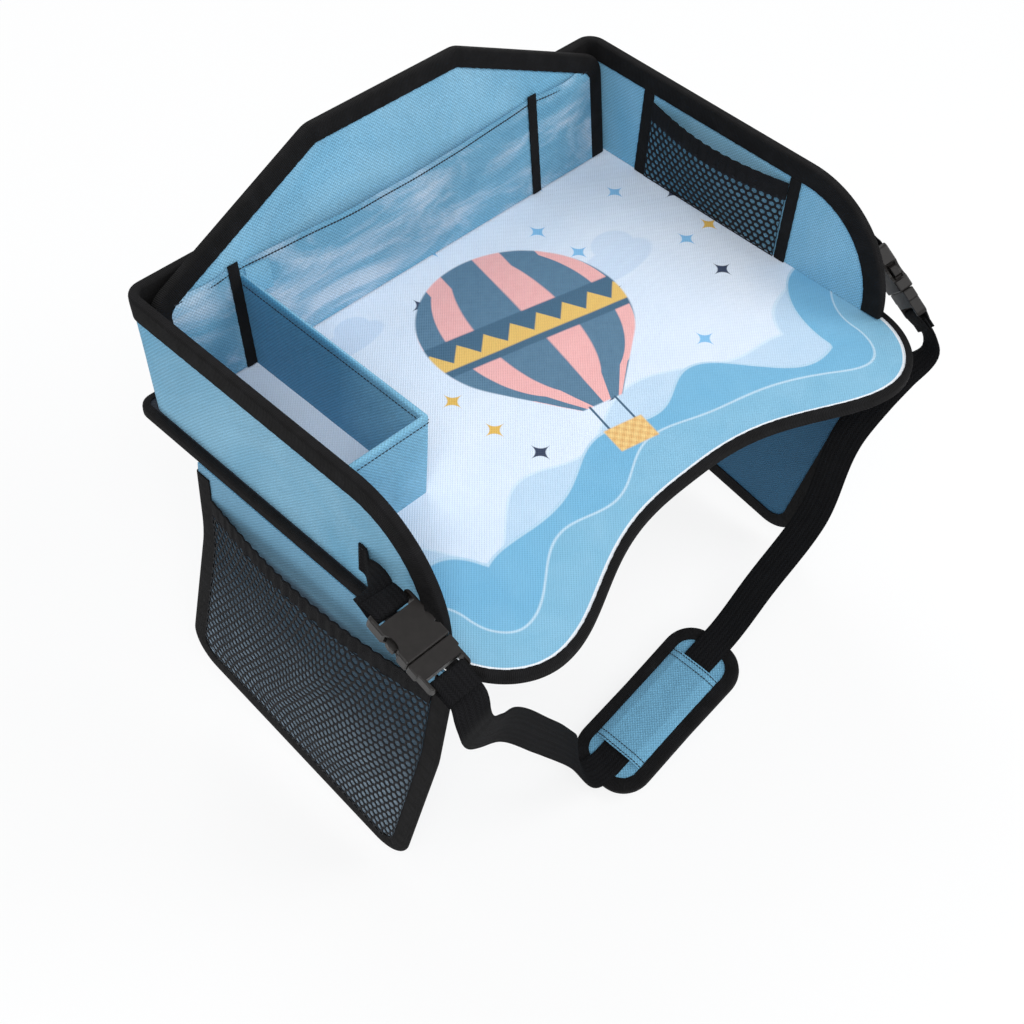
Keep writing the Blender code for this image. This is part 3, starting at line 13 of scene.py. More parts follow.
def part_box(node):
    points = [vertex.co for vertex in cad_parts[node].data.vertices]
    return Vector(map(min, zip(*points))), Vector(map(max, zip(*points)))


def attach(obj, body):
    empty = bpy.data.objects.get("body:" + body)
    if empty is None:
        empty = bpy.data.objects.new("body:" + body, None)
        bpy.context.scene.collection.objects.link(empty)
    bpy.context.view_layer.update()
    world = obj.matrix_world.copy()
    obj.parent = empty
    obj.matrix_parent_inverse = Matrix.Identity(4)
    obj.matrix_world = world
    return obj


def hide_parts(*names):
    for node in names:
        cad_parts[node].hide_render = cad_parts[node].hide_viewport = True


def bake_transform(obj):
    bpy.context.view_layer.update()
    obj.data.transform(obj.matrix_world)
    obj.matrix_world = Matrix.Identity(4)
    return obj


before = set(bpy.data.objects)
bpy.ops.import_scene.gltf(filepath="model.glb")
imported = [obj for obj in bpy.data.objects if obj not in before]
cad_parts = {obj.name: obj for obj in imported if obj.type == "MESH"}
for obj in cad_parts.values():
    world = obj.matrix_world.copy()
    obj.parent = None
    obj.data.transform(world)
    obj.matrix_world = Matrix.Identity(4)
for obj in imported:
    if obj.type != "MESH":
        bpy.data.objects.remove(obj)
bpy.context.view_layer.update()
scene = bpy.context.scene


# --- Studio: a white table and backdrop, three soft lamps, and the camera high on the tray's left front. ---
# The table keeps a faint shadow. Its edge and the backdrop are the same white.
class Value:
    """What a node gives. A sum or product of values is a new maths node in their tree."""

    def __init__(self, socket):
        self.socket = socket

    def __add__(self, other):
        return maths("ADD", self, other)

    def __sub__(self, other):
        return maths("SUBTRACT", self, other)

    def __mul__(self, other):
        return maths("MULTIPLY", self, other)

    def __truediv__(self, other):
        return maths("DIVIDE", self, other)

    def __abs__(self):
        return maths("ABSOLUTE", self)

    __radd__, __rmul__ = __add__, __mul__


def node(tree, kind, inputs=(), **settings):
    """A shader or geometry node with its settings; an input is given a number or another node's value."""
    new = tree.nodes.new(kind)
    for key, value in settings.items():
        setattr(new, key, value)
    for key, value in dict(inputs).items():
        if isinstance(value, Value):
            tree.links.new(value.socket, new.inputs[key])
        else:
            new.inputs[key].default_value = value
    return new


def given(tree, kind, inputs=(), output=0, **settings):
    """What one output of a new node gives."""
    return Value(node(tree, kind, inputs, **settings).outputs[output])


def maths(operation, *values):
    """The result of a maths node on values and numbers."""
    tree = next(value.socket.id_data for value in values if isinstance(value, Value))
    return given(tree, "ShaderNodeMath", dict(enumerate(values)), operation=operation)


def white_where_seen(tree, last, share, lit, white):
    """Shows plain white to the camera and in anything that shines or is clear, and is lit in all other light."""
    rays = node(tree, "ShaderNodeLightPath").outputs
    seen, shine, clear = (Value(rays[f"Is {ray} Ray"]) for ray in ("Camera", "Glossy", "Transmission"))
    plain = maths("MAXIMUM", maths("MAXIMUM", seen, shine), clear) * share
    node(tree, last, {"Surface": given(tree, "ShaderNodeMixShader", {0: plain, 1: lit, 2: white})})


WHITE = {"Color": (1, 1, 1, 1), "Strength": 1}
world = bpy.data.worlds.new("white_backdrop")
scene.world = world
world.use_nodes = True
world.node_tree.nodes.clear()
soft = given(world.node_tree, "ShaderNodeBackground", {"Color": (0.93, 0.965, 1, 1), "Strength": 0.44})
white_where_seen(world.node_tree, "ShaderNodeOutputWorld", 1.0, soft,
                 given(world.node_tree, "ShaderNodeBackground", WHITE))

table_white = bpy.data.materials.new("white_table")
table_white.use_nodes = True
tree = table_white.node_tree
tree.nodes.clear()
matt = given(tree, "ShaderNodeBsdfDiffuse", {"Color": (0.86, 0.86, 0.86, 1)})
white_where_seen(tree, "ShaderNodeOutputMaterial", 0.82, matt, given(tree, "ShaderNodeEmission", WHITE))
TABLE_Z, TABLE_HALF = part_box("pad_binding")[0][2] - 0.004, 6
table = bpy.data.meshes.new("table_top")
table.from_pydata([(x * TABLE_HALF, y * TABLE_HALF, TABLE_Z) for x, y in ((-1, -1), (1, -1), (1, 1), (-1, 1))],
                  [], [(0, 1, 2, 3)])
table.materials.append(table_white)
table = bpy.data.objects.new("table_top", table)
scene.collection.objects.link(table)

for name, spot, aim, size, power in (("key_softbox", (-1.8, -1.7, 3.0), (0, 0, 0), 1.8, 90),
                                     ("fill_softbox", (1.7, -1.6, 1.6), (0, 0, -0.05), 1.5, 31),
                                     ("back_softbox", (0.6, 1.6, 1.9), (0, 0, 0), 1.4, 19)):
    lamp = bpy.data.lights.new(name, "AREA")
    lamp.size = size
    lamp.energy = power
    lamp = bpy.data.objects.new(name, lamp)
    facing = (Vector(spot) - Vector(aim)).to_track_quat("Z", "Y")
    lamp.matrix_world = Matrix.Translation(spot) @ facing.to_matrix().to_4x4()
    scene.collection.objects.link(lamp)

azimuth, elevation, roll, distance = -0.856509, 0.852564, 0.082252, 1.145746
back = Vector((math.sin(azimuth) * math.cos(elevation), -math.cos(azimuth) * math.cos(elevation),
               math.sin(elevation)))
level = Vector((0, 0, 1)).cross(back).normalized()
across = math.cos(roll) * level + math.sin(roll) * back.cross(level)
lens = bpy.data.cameras.new("photo_camera")
lens.sensor_width = 36
lens.lens = 59.766
camera = bpy.data.objects.new("photo_camera", lens)
eye = Vector((-0.068932, -0.020979, -0.053308)) + back * distance
camera.matrix_world = Matrix.Translation(eye) @ Matrix((across, back.cross(across), back)).transposed().to_4x4()
scene.collection.objects.link(camera)
scene.camera = camera
scene.view_settings.view_transform = "Standard"


# --- Tray base: a stiff board in padded cloth, with a printed play surface over plain navy underneath. ---
# The two covers are laid over the board and their edges are closed by folded black tape.
SEAM_GAP, FABRIC_T, TAPE_T = 0.0003, 0.0008, 0.0010
BASE_T = 0.0062
INNER_HALF, BASE_HALF_WIDTH = 0.210, 0.2202
BACK_FOOT_Y, BASE_BACK_Y = 0.155, 0.1777
BELLY_Y, LOBE_Y, LOBE_X, LOBE_R = BACK_FOOT_Y - 0.267, BACK_FOOT_Y - 0.310, 0.167, 0.060
CORNER_R = 0.009


def unit(vectors):
    """Vectors of length 1 with these directions."""
    return vectors / np.maximum(np.linalg.norm(vectors, axis=-1, keepdims=True), 1e-12)


def arc(centre, radii, start_deg, end_deg, steps):
    """Points along an arc whose radii in x and y may differ."""
    turn = np.radians(np.linspace(start_deg, end_deg, steps + 1))
    return np.stack([centre[0] + radii[0] * np.cos(turn), centre[1] + radii[1] * np.sin(turn)], 1)


def tray_outline():
    """The tray's plan, anticlockwise: a hollow for the belly between two round arm lobes, and a square back."""
    share = np.linspace(0, 1, 61)[:-1]
    wave = (1 - np.cos(math.pi * share ** 1.42)) / 2
    belly = np.stack([LOBE_X * share, BELLY_Y + (LOBE_Y - BELLY_Y) * wave], 1)
    lobe = arc((LOBE_X, LOBE_Y + LOBE_R), (BASE_HALF_WIDTH - LOBE_X, LOBE_R), -90, 0, 28)
    rear = arc((BASE_HALF_WIDTH - CORNER_R, BASE_BACK_Y - CORNER_R), (CORNER_R, CORNER_R), 0, 90, 8)
    half = np.concatenate([belly, lobe, rear])
    return np.concatenate([half, (half * (-1, 1))[:0:-1]])


def edge_outwards(path, closed):
    """The mitred outward direction at each point of a plan run anticlockwise."""
    ahead = unit(np.roll(path, -1, 0) - path)
    behind = np.roll(ahead, 1, 0)
    if not closed:
        ahead[-1], behind[0] = behind[-1], ahead[0]
    sides = [np.stack([run[:, 1], -run[:, 0]], 1) for run in (behind, ahead)]
    middle = unit(sides[0] + sides[1])
    return middle / np.sum(middle * sides[0], 1, keepdims=True)


def run_of(line):
    """How far along a line each of its points is."""
    return np.concatenate([[0], np.cumsum(np.linalg.norm(np.diff(line, axis=0), axis=1))])


def even(path, step, closed):
    """The same line with points at even steps."""
    line = np.concatenate([path, path[:1]]) if closed else path
    run = run_of(line)
    count = max(int(round(run[-1] / step)), 2)
    places = np.linspace(0, run[-1], count + 1)[:-1 if closed else None]
    return np.stack([np.interp(places, run, line[:, k]) for k in range(line.shape[1])], 1)


def nearest(x, y, line):
    """How far each place is from a line's nearest point."""
    return np.concatenate([np.min(np.hypot(a[:, None] - line[:, 0], b[:, None] - line[:, 1]), 1)
                           for a, b in zip(np.array_split(x, 20), np.array_split(y, 20))])


def ripple(x, y, size, seed):
    """Soft uneven relief, about -1 to 1, of waves of roughly this size."""
    random = np.random.default_rng(seed)
    total = np.zeros(np.broadcast(x, y).shape)
    for _ in range(9):
        turn, length = random.uniform(0, 2 * math.pi), size * random.uniform(0.6, 1.7)
        along = x * math.cos(turn) + y * math.sin(turn)
        total += np.sin(2 * math.pi * along / length + random.uniform(0, 6.3))
    return total / 4


def made_up(name, points, faces, corner_uvs, surface, crease_deg=50.0, turn_out=False):
    """A mesh object from points and faces, smooth up to a crease, with its cloth coordinates in metres."""
    data = bpy.data.meshes.new(name)
    data.from_pydata(np.asarray(points, float).tolist(), [], [tuple(face) for face in faces])
    layer = data.uv_layers.new(name="cloth")
    layer.data.foreach_set("uv", np.asarray(corner_uvs, np.float32).ravel())
    if turn_out:
        mesh = bmesh.new()
        mesh.from_mesh(data)
        bmesh.ops.recalc_face_normals(mesh, faces=mesh.faces)
        mesh.to_mesh(data)
        mesh.free()
    data.polygons.foreach_set("use_smooth", np.ones(len(data.polygons), bool))
    data.set_sharp_from_angle(angle=math.radians(crease_deg))
    data.materials.append(surface)
    piece = bpy.data.objects.new(name, data)
    scene.collection.objects.link(piece)
    return piece


def both_sides(name, flat, faces, front, rear, surface, uv):
    """Closes two matching skins of cloth with a rim along their open edge."""
    faces = np.asarray(faces)
    count, corners = len(flat), faces.shape[1]
    sides = np.concatenate([faces[:, [k, (k + 1) % corners]] for k in range(corners)])
    seen = {tuple(side) for side in sides.tolist()}
    rim = np.array([side for side in seen if side[::-1] not in seen])
    rims = np.stack([rim[:, 1], rim[:, 0], rim[:, 0] + count, rim[:, 1] + count], 1)
    everything = [*faces.tolist(), *(faces[:, ::-1] + count).tolist(), *rims.tolist()]
    order = np.concatenate([np.asarray(face) for face in everything]) % count
    return made_up(name, np.concatenate([front, rear]), everything, uv[order], surface)


def cloth(name, grid, thickness, surface, uv=None):
    """A piece of cloth through a grid of points; it faces where its columns, then its rows, turn."""
    rows, columns = grid.shape[:2]
    facing = unit(np.cross(np.gradient(grid, axis=1), np.gradient(grid, axis=0)))
    if uv is None:
        u = np.cumsum(np.linalg.norm(np.diff(grid, axis=1, prepend=grid[:, :1]), axis=2), 1)
        v = np.cumsum(np.linalg.norm(np.diff(grid, axis=0, prepend=grid[:1]), axis=2), 0)
        uv = np.stack([u, v], 2)
    index = np.arange(rows * columns).reshape(rows, columns)
    faces = np.stack([index[:-1, :-1], index[:-1, 1:], index[1:, 1:], index[1:, :-1]], 2).reshape(-1, 4)
    front, rear = ((grid + facing * side * thickness / 2).reshape(-1, 3) for side in (1, -1))
    return both_sides(name, index.ravel(), faces, front, rear, surface, uv.reshape(-1, 2))


def cut(outline, step):
    """An even triangle mesh inside a closed plan: its points and its triangles."""
    edge = even(np.asarray(outline), step, True)
    low, high = edge.min(0), edge.max(0)
    rows = []
    for i, y in enumerate(np.arange(low[1] + step / 2, high[1], step * math.sqrt(3) / 2)):
        x = np.arange(low[0] + step / 4 * (1 + 2 * (i % 2)), high[0], step)
        rows.append(np.stack([x, np.full(len(x), y)], 1))
    inner = np.concatenate(rows)
    inner = inner[nearest(inner[:, 0], inner[:, 1], edge) > step * 0.55]
    points = [Vector(point) for point in np.concatenate([edge, inner]).tolist()]
    rim = [(i, (i + 1) % len(edge)) for i in range(len(edge))]
    filled = delaunay_2d_cdt(points, rim, [list(range(len(edge)))], 1, 1e-6)
    plan = np.array([tuple(point) for point in filled[0]])
    faces = np.array([face for face in filled[2] if len(face) == 3])
    one, two = plan[faces[:, 1]] - plan[faces[:, 0]], plan[faces[:, 2]] - plan[faces[:, 0]]
    turned = one[:, 0] * two[:, 1] - one[:, 1] * two[:, 0] < 0
    faces[turned] = faces[turned][:, ::-1]
    return plan, faces


def panel_of_cloth(name, outline, step, thickness, place, surface, relief=None):
    """Cloth cut to a plan and laid in place, where place takes (u, v, height off the plan)."""
    plan, faces = cut(outline, step)
    x, y = plan.T
    height = relief(x, y) if relief else np.zeros(len(plan))
    front, rear = (place(x, y, height + side * thickness / 2) for side in (1, -1))
    return both_sides(name, plan, faces, front, rear, surface, plan)


def swept(name, rings, run, girth, caps, surface, closed=False, crease_deg=50):
    """A profile carried along a line as rings of points, with the line's run and the profile's girth as its uv."""
    count, around = rings.shape[:2]
    faces, uvs = [], []
    for i in range(count if closed else count - 1):
        for k in range(around):
            i2, k2 = (i + 1) % count, (k + 1) % around
            faces.append((i * around + k, i * around + k2, i2 * around + k2, i2 * around + k))
            uvs += [(run[i], girth[k]), (run[i], girth[k + 1]), (run[i + 1], girth[k + 1]), (run[i + 1], girth[k])]
    if not closed:
        for base in (0, (count - 1) * around):
            faces.append([base + k for k in range(around)])
            uvs += [tuple(point) for point in caps]
    return made_up(name, rings.reshape(-1, 3), faces, uvs, surface, crease_deg, True)


def folded_tape(name, edge, across, out, core, face, skin, surface, closed, nose_r=0.0022, seed=1, shape=None):
    """Tape folded over the edge of flat layers: two faces and a rounded nose, puckered a little by its stitches."""
    stitch_pitch, pucker_depth, puff_height = 0.011, 0.00022, 0.00018
    inner, outer, nose = core / 2 + SEAM_GAP, core / 2 + SEAM_GAP + skin, SEAM_GAP + skin
    nose_r = min(nose_r, outer)
    left = arc((-(outer - nose_r), nose - nose_r), (nose_r, nose_r), 180, 90, 5)
    right = arc((outer - nose_r, nose - nose_r), (nose_r, nose_r), 90, 0, 5)
    limb = [(-outer, -face * k) for k in (1, 0.93, 0.6, 0.3)]
    lining = [(inner, -face), (inner, SEAM_GAP), (-inner, SEAM_GAP), (-inner, -face)]
    profile = np.concatenate([limb, left, right, [(outer, y) for _, y in limb[::-1]], lining])
    girth = run_of(np.concatenate([profile, profile[:1]]))
    outer_part = np.arange(len(profile)) < len(profile) - len(lining)
    run = run_of(np.concatenate([edge, edge[:1]]) if closed else edge)
    places, total = run[:len(edge), None], run[-1]
    phase = 2 * math.pi * (np.round(total / stitch_pitch) / total if closed else 1 / stitch_pitch)
    pucker = np.sin(phase * places) * 0.5 + np.sin(phase * places * (2 if closed else 1.7) + seed) * 0.5
    puff = np.where(outer_part & (np.abs(profile[:, 1] + face * 0.45) < face * 0.3), puff_height, 0.0)
    a = profile[:, 0] + np.sign(profile[:, 0]) * puff * (1 + pucker)
    b = profile[:, 1] - (outer_part & (profile[:, 1] < -face * 0.9)) * pucker_depth * pucker
    points = edge[:, None] + a[..., None] * across[:, None] + b[..., None] * out[:, None]
    return swept(name, shape(points) if shape else points, run, girth, profile, surface, closed)


def sewn(piece, body, slot, *nodes):
    """The piece moves with a body and stands for the model's plain pieces, which are hidden. The slot is not used."""
    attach(piece, body)
    if nodes:
        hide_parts(*nodes)
    return piece


class Finish:
    """A new material, with its shader and the piece's own cloth coordinates in metres along u and v."""

    def __init__(self, name, roughness, sheen=0.0, shine=0.22):
        self.material = bpy.data.materials.new(name)
        self.material.use_nodes = True
        self.tree = self.material.node_tree
        self.shader = self.tree.nodes["Principled BSDF"].inputs
        for key, level in (("Roughness", roughness), ("Sheen Weight", sheen), ("Specular IOR Level", shine)):
            self.shader[key].default_value = level
        self.u, self.v, _ = self.parts(given(self.tree, "ShaderNodeUVMap", uv_map="cloth"))

    def parts(self, vector):
        """The x, y and z of a vector, or the red, green and blue of a colour."""
        return [Value(part) for part in node(self.tree, "ShaderNodeSeparateXYZ", {0: vector}).outputs]

    def place(self):
        """Where on the object a point is, in metres."""
        return given(self.tree, "ShaderNodeTexCoord", output="Object")

    def cloud(self, size, detail=3.0, rough=0.55, bend=0.0, place=None):
        """Cloudy noise over the object, about 0 to 1, of this size."""
        return given(self.tree, "ShaderNodeTexNoise", {"Vector": place or self.place(), "Scale": 1 / size,
                                                       "Detail": detail, "Roughness": rough, "Distortion": bend}, "Fac")

    def mix(self, share, first, second, kind="MIX"):
        """One colour or the other, by share."""
        first, second = (colour if isinstance(colour, Value) else (*colour, 1.0) for colour in (first, second))
        return given(self.tree, "ShaderNodeMix", {0: share, 6: first, 7: second}, 2, data_type="RGBA", blend_type=kind)

    def ramp(self, value, stops, interpolation="LINEAR"):
        """Colours along a value, from stops of place and colour."""
        made = node(self.tree, "ShaderNodeValToRGB", {0: value})
        made.color_ramp.interpolation = interpolation
        first, last = made.color_ramp.elements
        first.position, last.position = stops[0][0], stops[-1][0]
        first.color, last.color = (*stops[0][1], 1.0), (*stops[-1][1], 1.0)
        for place, colour in stops[1:-1]:
            made.color_ramp.elements.new(place).color = (*colour, 1.0)
        return Value(made.outputs[0])

    def span(self, value, start, end):
        """0 up to the start and 1 from the end on."""
        return given(self.tree, "ShaderNodeMapRange", {"Value": value, "From Min": start, "From Max": end})

    def below(self, value, edge, soft=0.0006):
        """1 below the edge and 0 above it."""
        return self.span(value, edge + soft, edge - soft)

    def above(self, value, edge, soft=0.0006):
        """1 above the edge and 0 below it."""
        return self.span(value, edge - soft, edge + soft)

    def between(self, value, low, high):
        return self.above(value, low) * self.below(value, high)

    def wave(self, value, pitch):
        """A sine wave of this pitch along a value, from -1 to 1."""
        return maths("SINE", value * (2 * math.pi / pitch))

    def paint(self, colour, level=None, channel="Base Color"):
        """Gives the shader its colour, dimmed by a level where there is one."""
        if level:
            grey = given(self.tree, "ShaderNodeCombineColor", {0: level, 1: level, 2: level})
            colour = self.mix(1.0, colour, grey, "MULTIPLY")
        self.tree.links.new(colour.socket, self.shader[channel])

    def relief(self, height, depth):
        """Gives the shader bumps, this deep in metres for each 1 of height."""
        bump = given(self.tree, "ShaderNodeBump", {"Height": height, "Distance": depth, "Strength": 1.0})
        self.tree.links.new(bump.socket, self.shader["Normal"])


def oxford(name, colour, thread=0.0013, roughness=0.78):
    """Polyester oxford: a basket weave with uneven threads, a little faded and creased, its threads painted lighter and
    darker along the weave as painted highlight and shade. A function may tint it.
    """
    made, fade = Finish(name, roughness, 0.08), 0.16
    weave = made.wave(made.u, thread * 2) * made.wave(made.v, thread * 2)
    fibres, cloud = made.cloud(0.0011, 3.0, 0.7), made.cloud(0.05, 4.0)
    base = colour(made) if callable(colour) else colour
    # Lit and shaded copies of the colour, mixed by the weave: painted highlight on the thread crowns and painted shade
    # between them.
    dark, lit = (made.mix(1.0, base, (share,) * 3, "MULTIPLY") for share in (0.66, 1.26))
    made.paint(made.mix(weave * 0.36 + 0.5, dark, lit), (cloud + fibres * 3.2) * (2 * fade) + (1 - 4.2 * fade))
    made.paint(fibres * 0.16 + (roughness - 0.08), channel="Roughness")
    made.relief(weave + fibres + cloud * 9.0, 0.00016)
    return made.material


def grosgrain(name, colour):
    """Black polyester binding: fine ribs across the tape, with the dust and wear that show on a dark edge."""
    made = Finish(name, 0.8, 0.0, 0.1)
    ribs = made.wave(made.u, 0.0012)
    dust = maths("POWER", made.cloud(0.012, 5.0), 3.0) * (ribs * 0.5 + 0.9)
    made.paint(made.mix(dust, colour, (0.022, 0.022, 0.024)))
    made.relief(ribs + made.wave(made.v, 0.0022) * 0.25, 0.00017)
    return made.material


def gap_to_front(x, y):
    """How far a place on the tray is from its front edge."""
    path = even(outline, 0.003, True)
    return nearest(x, y, path[path[:, 1] < -0.095])


def print_on_tray():
    """The play print: a pale sky with a striped balloon, far clouds and sparks, over soft waves along the front."""
    made = Finish("printed_play_cloth", 0.7, 0.08)
    place = made.place()
    x, y, _ = made.parts(place)

    def oval(px, py, cx, cy, rx, ry):
        a, b = (px - cx) / rx, (py - cy) / ry
        return maths("SQRT", a * a + b * b)

    sky = made.mix(made.cloud(0.11, 5.0, 0.6, 0.6), (0.60, 0.72, 0.88), (0.81, 0.86, 0.94))
    far = oval(x, y, 0.118, 0.062, 0.036, 0.015)
    for puff in ((0.130, 0.076, 0.018, 0.014), (-0.080, 0.128, 0.030, 0.011), (-0.070, 0.137, 0.014, 0.010)):
        far = maths("MINIMUM", far, oval(x, y, *puff))
    sky = made.mix(made.below(far, 1.0, 0.06) * 0.30, sky, (0.36, 0.54, 0.78))
    cells = node(made.tree, "ShaderNodeTexVoronoi", {"Vector": place, "Scale": 26, "Randomness": 0.75, "Exponent": 0.5},
                 voronoi_dimensions="2D", distance="MINKOWSKI").outputs
    hue, kept, _ = made.parts(Value(cells["Color"]))
    spark = made.below(Value(cells["Distance"]), 0.25, 0.03) * made.below(kept, 0.42, 0.001)
    yellow, navy, blue = (0.74, 0.46, 0.10), (0.03, 0.045, 0.09), (0.22, 0.50, 0.78)
    picture = made.mix(spark, sky, made.ramp(hue, ((0, yellow), (0.42, navy), (0.70, blue)), "CONSTANT"))

    front = given(made.tree, "ShaderNodeAttribute", output="Fac", attribute_name="gap_to_front")
    slow = made.wave(x, 0.19) + made.wave(x + 0.03, 0.083) * 0.45
    for reach, swell, shift, first, second in ((0.074, 0.0075, 0.000, (0.44, 0.62, 0.80), (0.58, 0.72, 0.86)),
                                               (0.060, 0.0090, 0.061, (0.14, 0.40, 0.62), (0.21, 0.48, 0.69)),
                                               (0.034, 0.0060, 0.137, (0.17, 0.42, 0.60), (0.27, 0.52, 0.70))):
        crest = front - (made.wave(x + shift, 0.115) + slow * 0.6) * swell
        water = made.mix(made.cloud(0.02 + reach / 4, 5.0, 0.6, 0.4), first, second)
        picture = made.mix(made.below(crest, reach), picture, water)
        picture = made.mix(made.between(crest, reach - 0.0016, reach) * 0.55, picture, (0.72, 0.84, 0.93))

    turned = given(made.tree, "ShaderNodeMapping", {"Vector": place, "Location": (0.022, 0.050, 0),
                                                    "Rotation": (0, 0, math.radians(-12)), "Scale": (1.22, 1.22, 1)},
                   vector_type="TEXTURE")
    bx, by, _ = made.parts(turned)
    skirt_half = by * 0.954 + 0.0763
    skirt = made.below(abs(bx) - skirt_half, 0.0) * made.between(by, -0.066, -0.030)
    whole = maths("MAXIMUM", made.below(oval(bx, by, 0, 0.010, 0.064, 0.060), 1.0, 0.01), skirt)
    rise = by - 0.010
    rim = maths("SQRT", maths("MAXIMUM", rise * rise * -1.0 + 0.0042, 0.00018))
    rim = maths("MAXIMUM", rim, maths("MINIMUM", skirt_half, 0.0477))
    gores = maths("SINE", maths("ARCSINE", maths("MINIMUM", maths("MAXIMUM", bx / rim, -1.0), 1.0)) * 7.0)
    brush = made.cloud(0.006, 4.0) * 0.5 + 0.25
    steel = made.mix(brush, (0.060, 0.140, 0.225), (0.135, 0.255, 0.37))
    coral = made.mix(brush, (0.80, 0.36, 0.36), (0.90, 0.52, 0.50))
    zigzag = maths("PINGPONG", bx, 0.009) * 1.3 - 0.003
    belt = made.between(by, -0.003, 0.013) * made.below(by - zigzag, 0.004)
    balloon = made.mix(made.between(by, -0.008, 0.018), made.mix(made.above(gores, 0.25, 0.08), steel, coral),
                       made.mix(belt, (0.055, 0.13, 0.21), (0.78, 0.50, 0.14)))
    picture = made.mix(whole, picture, balloon)
    ropes = made.below(abs(abs(bx) - 0.0085) - 0.0007, 0.0, 0.0002) * made.between(by, -0.088, -0.065)
    picture = made.mix(ropes, picture, (0.05, 0.11, 0.18))
    basket = made.below(abs(bx) - 0.0125, 0.0) * made.between(by, -0.101, -0.084)
    wicker = made.wave(bx, 0.006) * made.wave(by, 0.006) * 0.5 + 0.5
    picture = made.mix(basket, picture, made.mix(wicker, (0.70, 0.40, 0.14), (0.86, 0.60, 0.24)))

    beside = made.above(abs(x), 0.2135) * made.above(y, -0.090)
    behind = maths("MAXIMUM", made.above(y, 0.1695), made.above(abs(x) + y, 0.3765))
    picture = made.mix(maths("MAXIMUM", beside, behind), picture, (0.012, 0.016, 0.024))
    picture = made.mix(made.below(front, 0.0062, 0.0003), picture, (0.86, 0.90, 0.95))
    threads = made.wave(made.u, 0.0022) * made.wave(made.v, 0.0022) + made.cloud(0.0011, 3.0, 0.7)
    made.paint(picture, threads * 0.075 + 0.935)
    made.relief(threads + made.cloud(0.035, 3.0, 0.45, 0.4) * 9.0, 0.00020)
    return made.material


def flat_at(level):
    """Lays a plan flat, with its heights measured from a level."""
    return lambda x, y, height: np.stack([x, y, level + height], 1)


def quilted(x, y):
    """The play surface swells a little over its padding and creases softly towards the walls and the front."""
    near = np.clip(gap_to_front(x, y) / 0.030, 0, 1)
    inside = np.clip((0.2055 - np.abs(x)) / 0.03, 0, 1) * np.clip((0.150 - y) / 0.03, 0, 1)
    fade = near * np.clip(inside + 0.35 * (y < -0.10), 0, 1)
    return fade * (0.0004 + 0.00022 * ripple(x, y, 0.07, 4) + 0.00010 * ripple(x, y, 0.022, 5))


outline = tray_outline()
play_cover = panel_of_cloth("tray_play_surface", outline, 0.0035, FABRIC_T, flat_at(BASE_T - FABRIC_T / 2),
                            print_on_tray(), quilted)
plan = np.array([tuple(vertex.co) for vertex in play_cover.data.vertices])
front = play_cover.data.attributes.new("gap_to_front", "FLOAT", "POINT")
front.data.foreach_set("value", gap_to_front(plan[:, 0], plan[:, 1]).astype(np.float32))
sewn(play_cover, "tray", "printed_cloth", "tray_top_cover")

TRAY_TAPE_FACE = 0.004
navy_cloth = oxford("navy_underside_cloth", (0.030, 0.085, 0.150), thread=0.0011, roughness=0.85)
inner_outline = outline - edge_outwards(outline, True) * (TRAY_TAPE_FACE + SEAM_GAP)
under_cover = panel_of_cloth("tray_underside", inner_outline[::-1], 0.007, FABRIC_T, flat_at(FABRIC_T / 2), navy_cloth,
                             lambda x, y: 0.00012 * ripple(x, y, 0.05, 8))
sewn(under_cover, "tray", "dark_cloth", "underside_cover")


def flat3(plan, level):
    """A plan's points, all at one level."""
    return np.column_stack([plan, np.full(len(plan), level)])


black_tape = grosgrain("black_binding_tape", (0.0060, 0.0058, 0.0060))
TAPE_STEP = 0.0025
edge = even(outline, TAPE_STEP, True)
outwards = edge_outwards(edge, True)
tray_tape = folded_tape("tray_edge_tape", flat3(edge, BASE_T / 2), flat3(outwards * 0, 1.0), flat3(outwards, 0.0),
                        BASE_T, TRAY_TAPE_FACE, TAPE_T, black_tape, True)
sewn(tray_tape, "tray", "binding_tape", "base_binding")


def coated(surface, *nodes):
    """The model's own pieces that show as they are get their finish."""
    for name in nodes:
        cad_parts[name].data.materials.clear()
        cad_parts[name].data.materials.append(surface)


grey_board = Finish("grey_stiff_board", 0.8)
pulp = grey_board.cloud(0.004, 5.0)
grey_board.paint(grey_board.mix(pulp, (0.42, 0.41, 0.38), (0.60, 0.59, 0.56)))
grey_board.relief(pulp, 0.0002)
coated(grey_board.material, "base_board", "left_wall_board", "right_wall_board", "rear_wall_board",
       "back_panel_board", "box_divider_board", "box_front_board")


# --- Wrap-round wall: one strip of board round both sides and the back, between a lining and an outer cover. ---
# Its front ends curve down to the tray, its rear leans back with the tall panel, and wide tape binds its top.
WALL_T, WALL_HEIGHT, WALL_CURVE, WALL_R, WALL_TAPE_FACE = 0.0047, 0.087, 0.080, 0.010, 0.014
WALL_X, WALL_FRONT_Y, WALL_BACK_Y = INNER_HALF + WALL_T / 2, -0.105, 0.16985
PANEL_LEAN = math.radians(9.16)
LEAN_SLOPE, LEAN_RUN = math.tan(PANEL_LEAN), 0.120
WALL_FOOT_Z = BASE_T + SEAM_GAP


def leaned(points):
    """The rear of the wall leans back with the tall panel, easing in along the sides."""
    end = WALL_BACK_Y - WALL_R
    amount = np.clip((points[..., 1] - end + LEAN_RUN) / LEAN_RUN, 0, 1)
    moved = points.copy()
    moved[..., 1] += amount * LEAN_SLOPE * (points[..., 2] - BASE_T)
    return moved


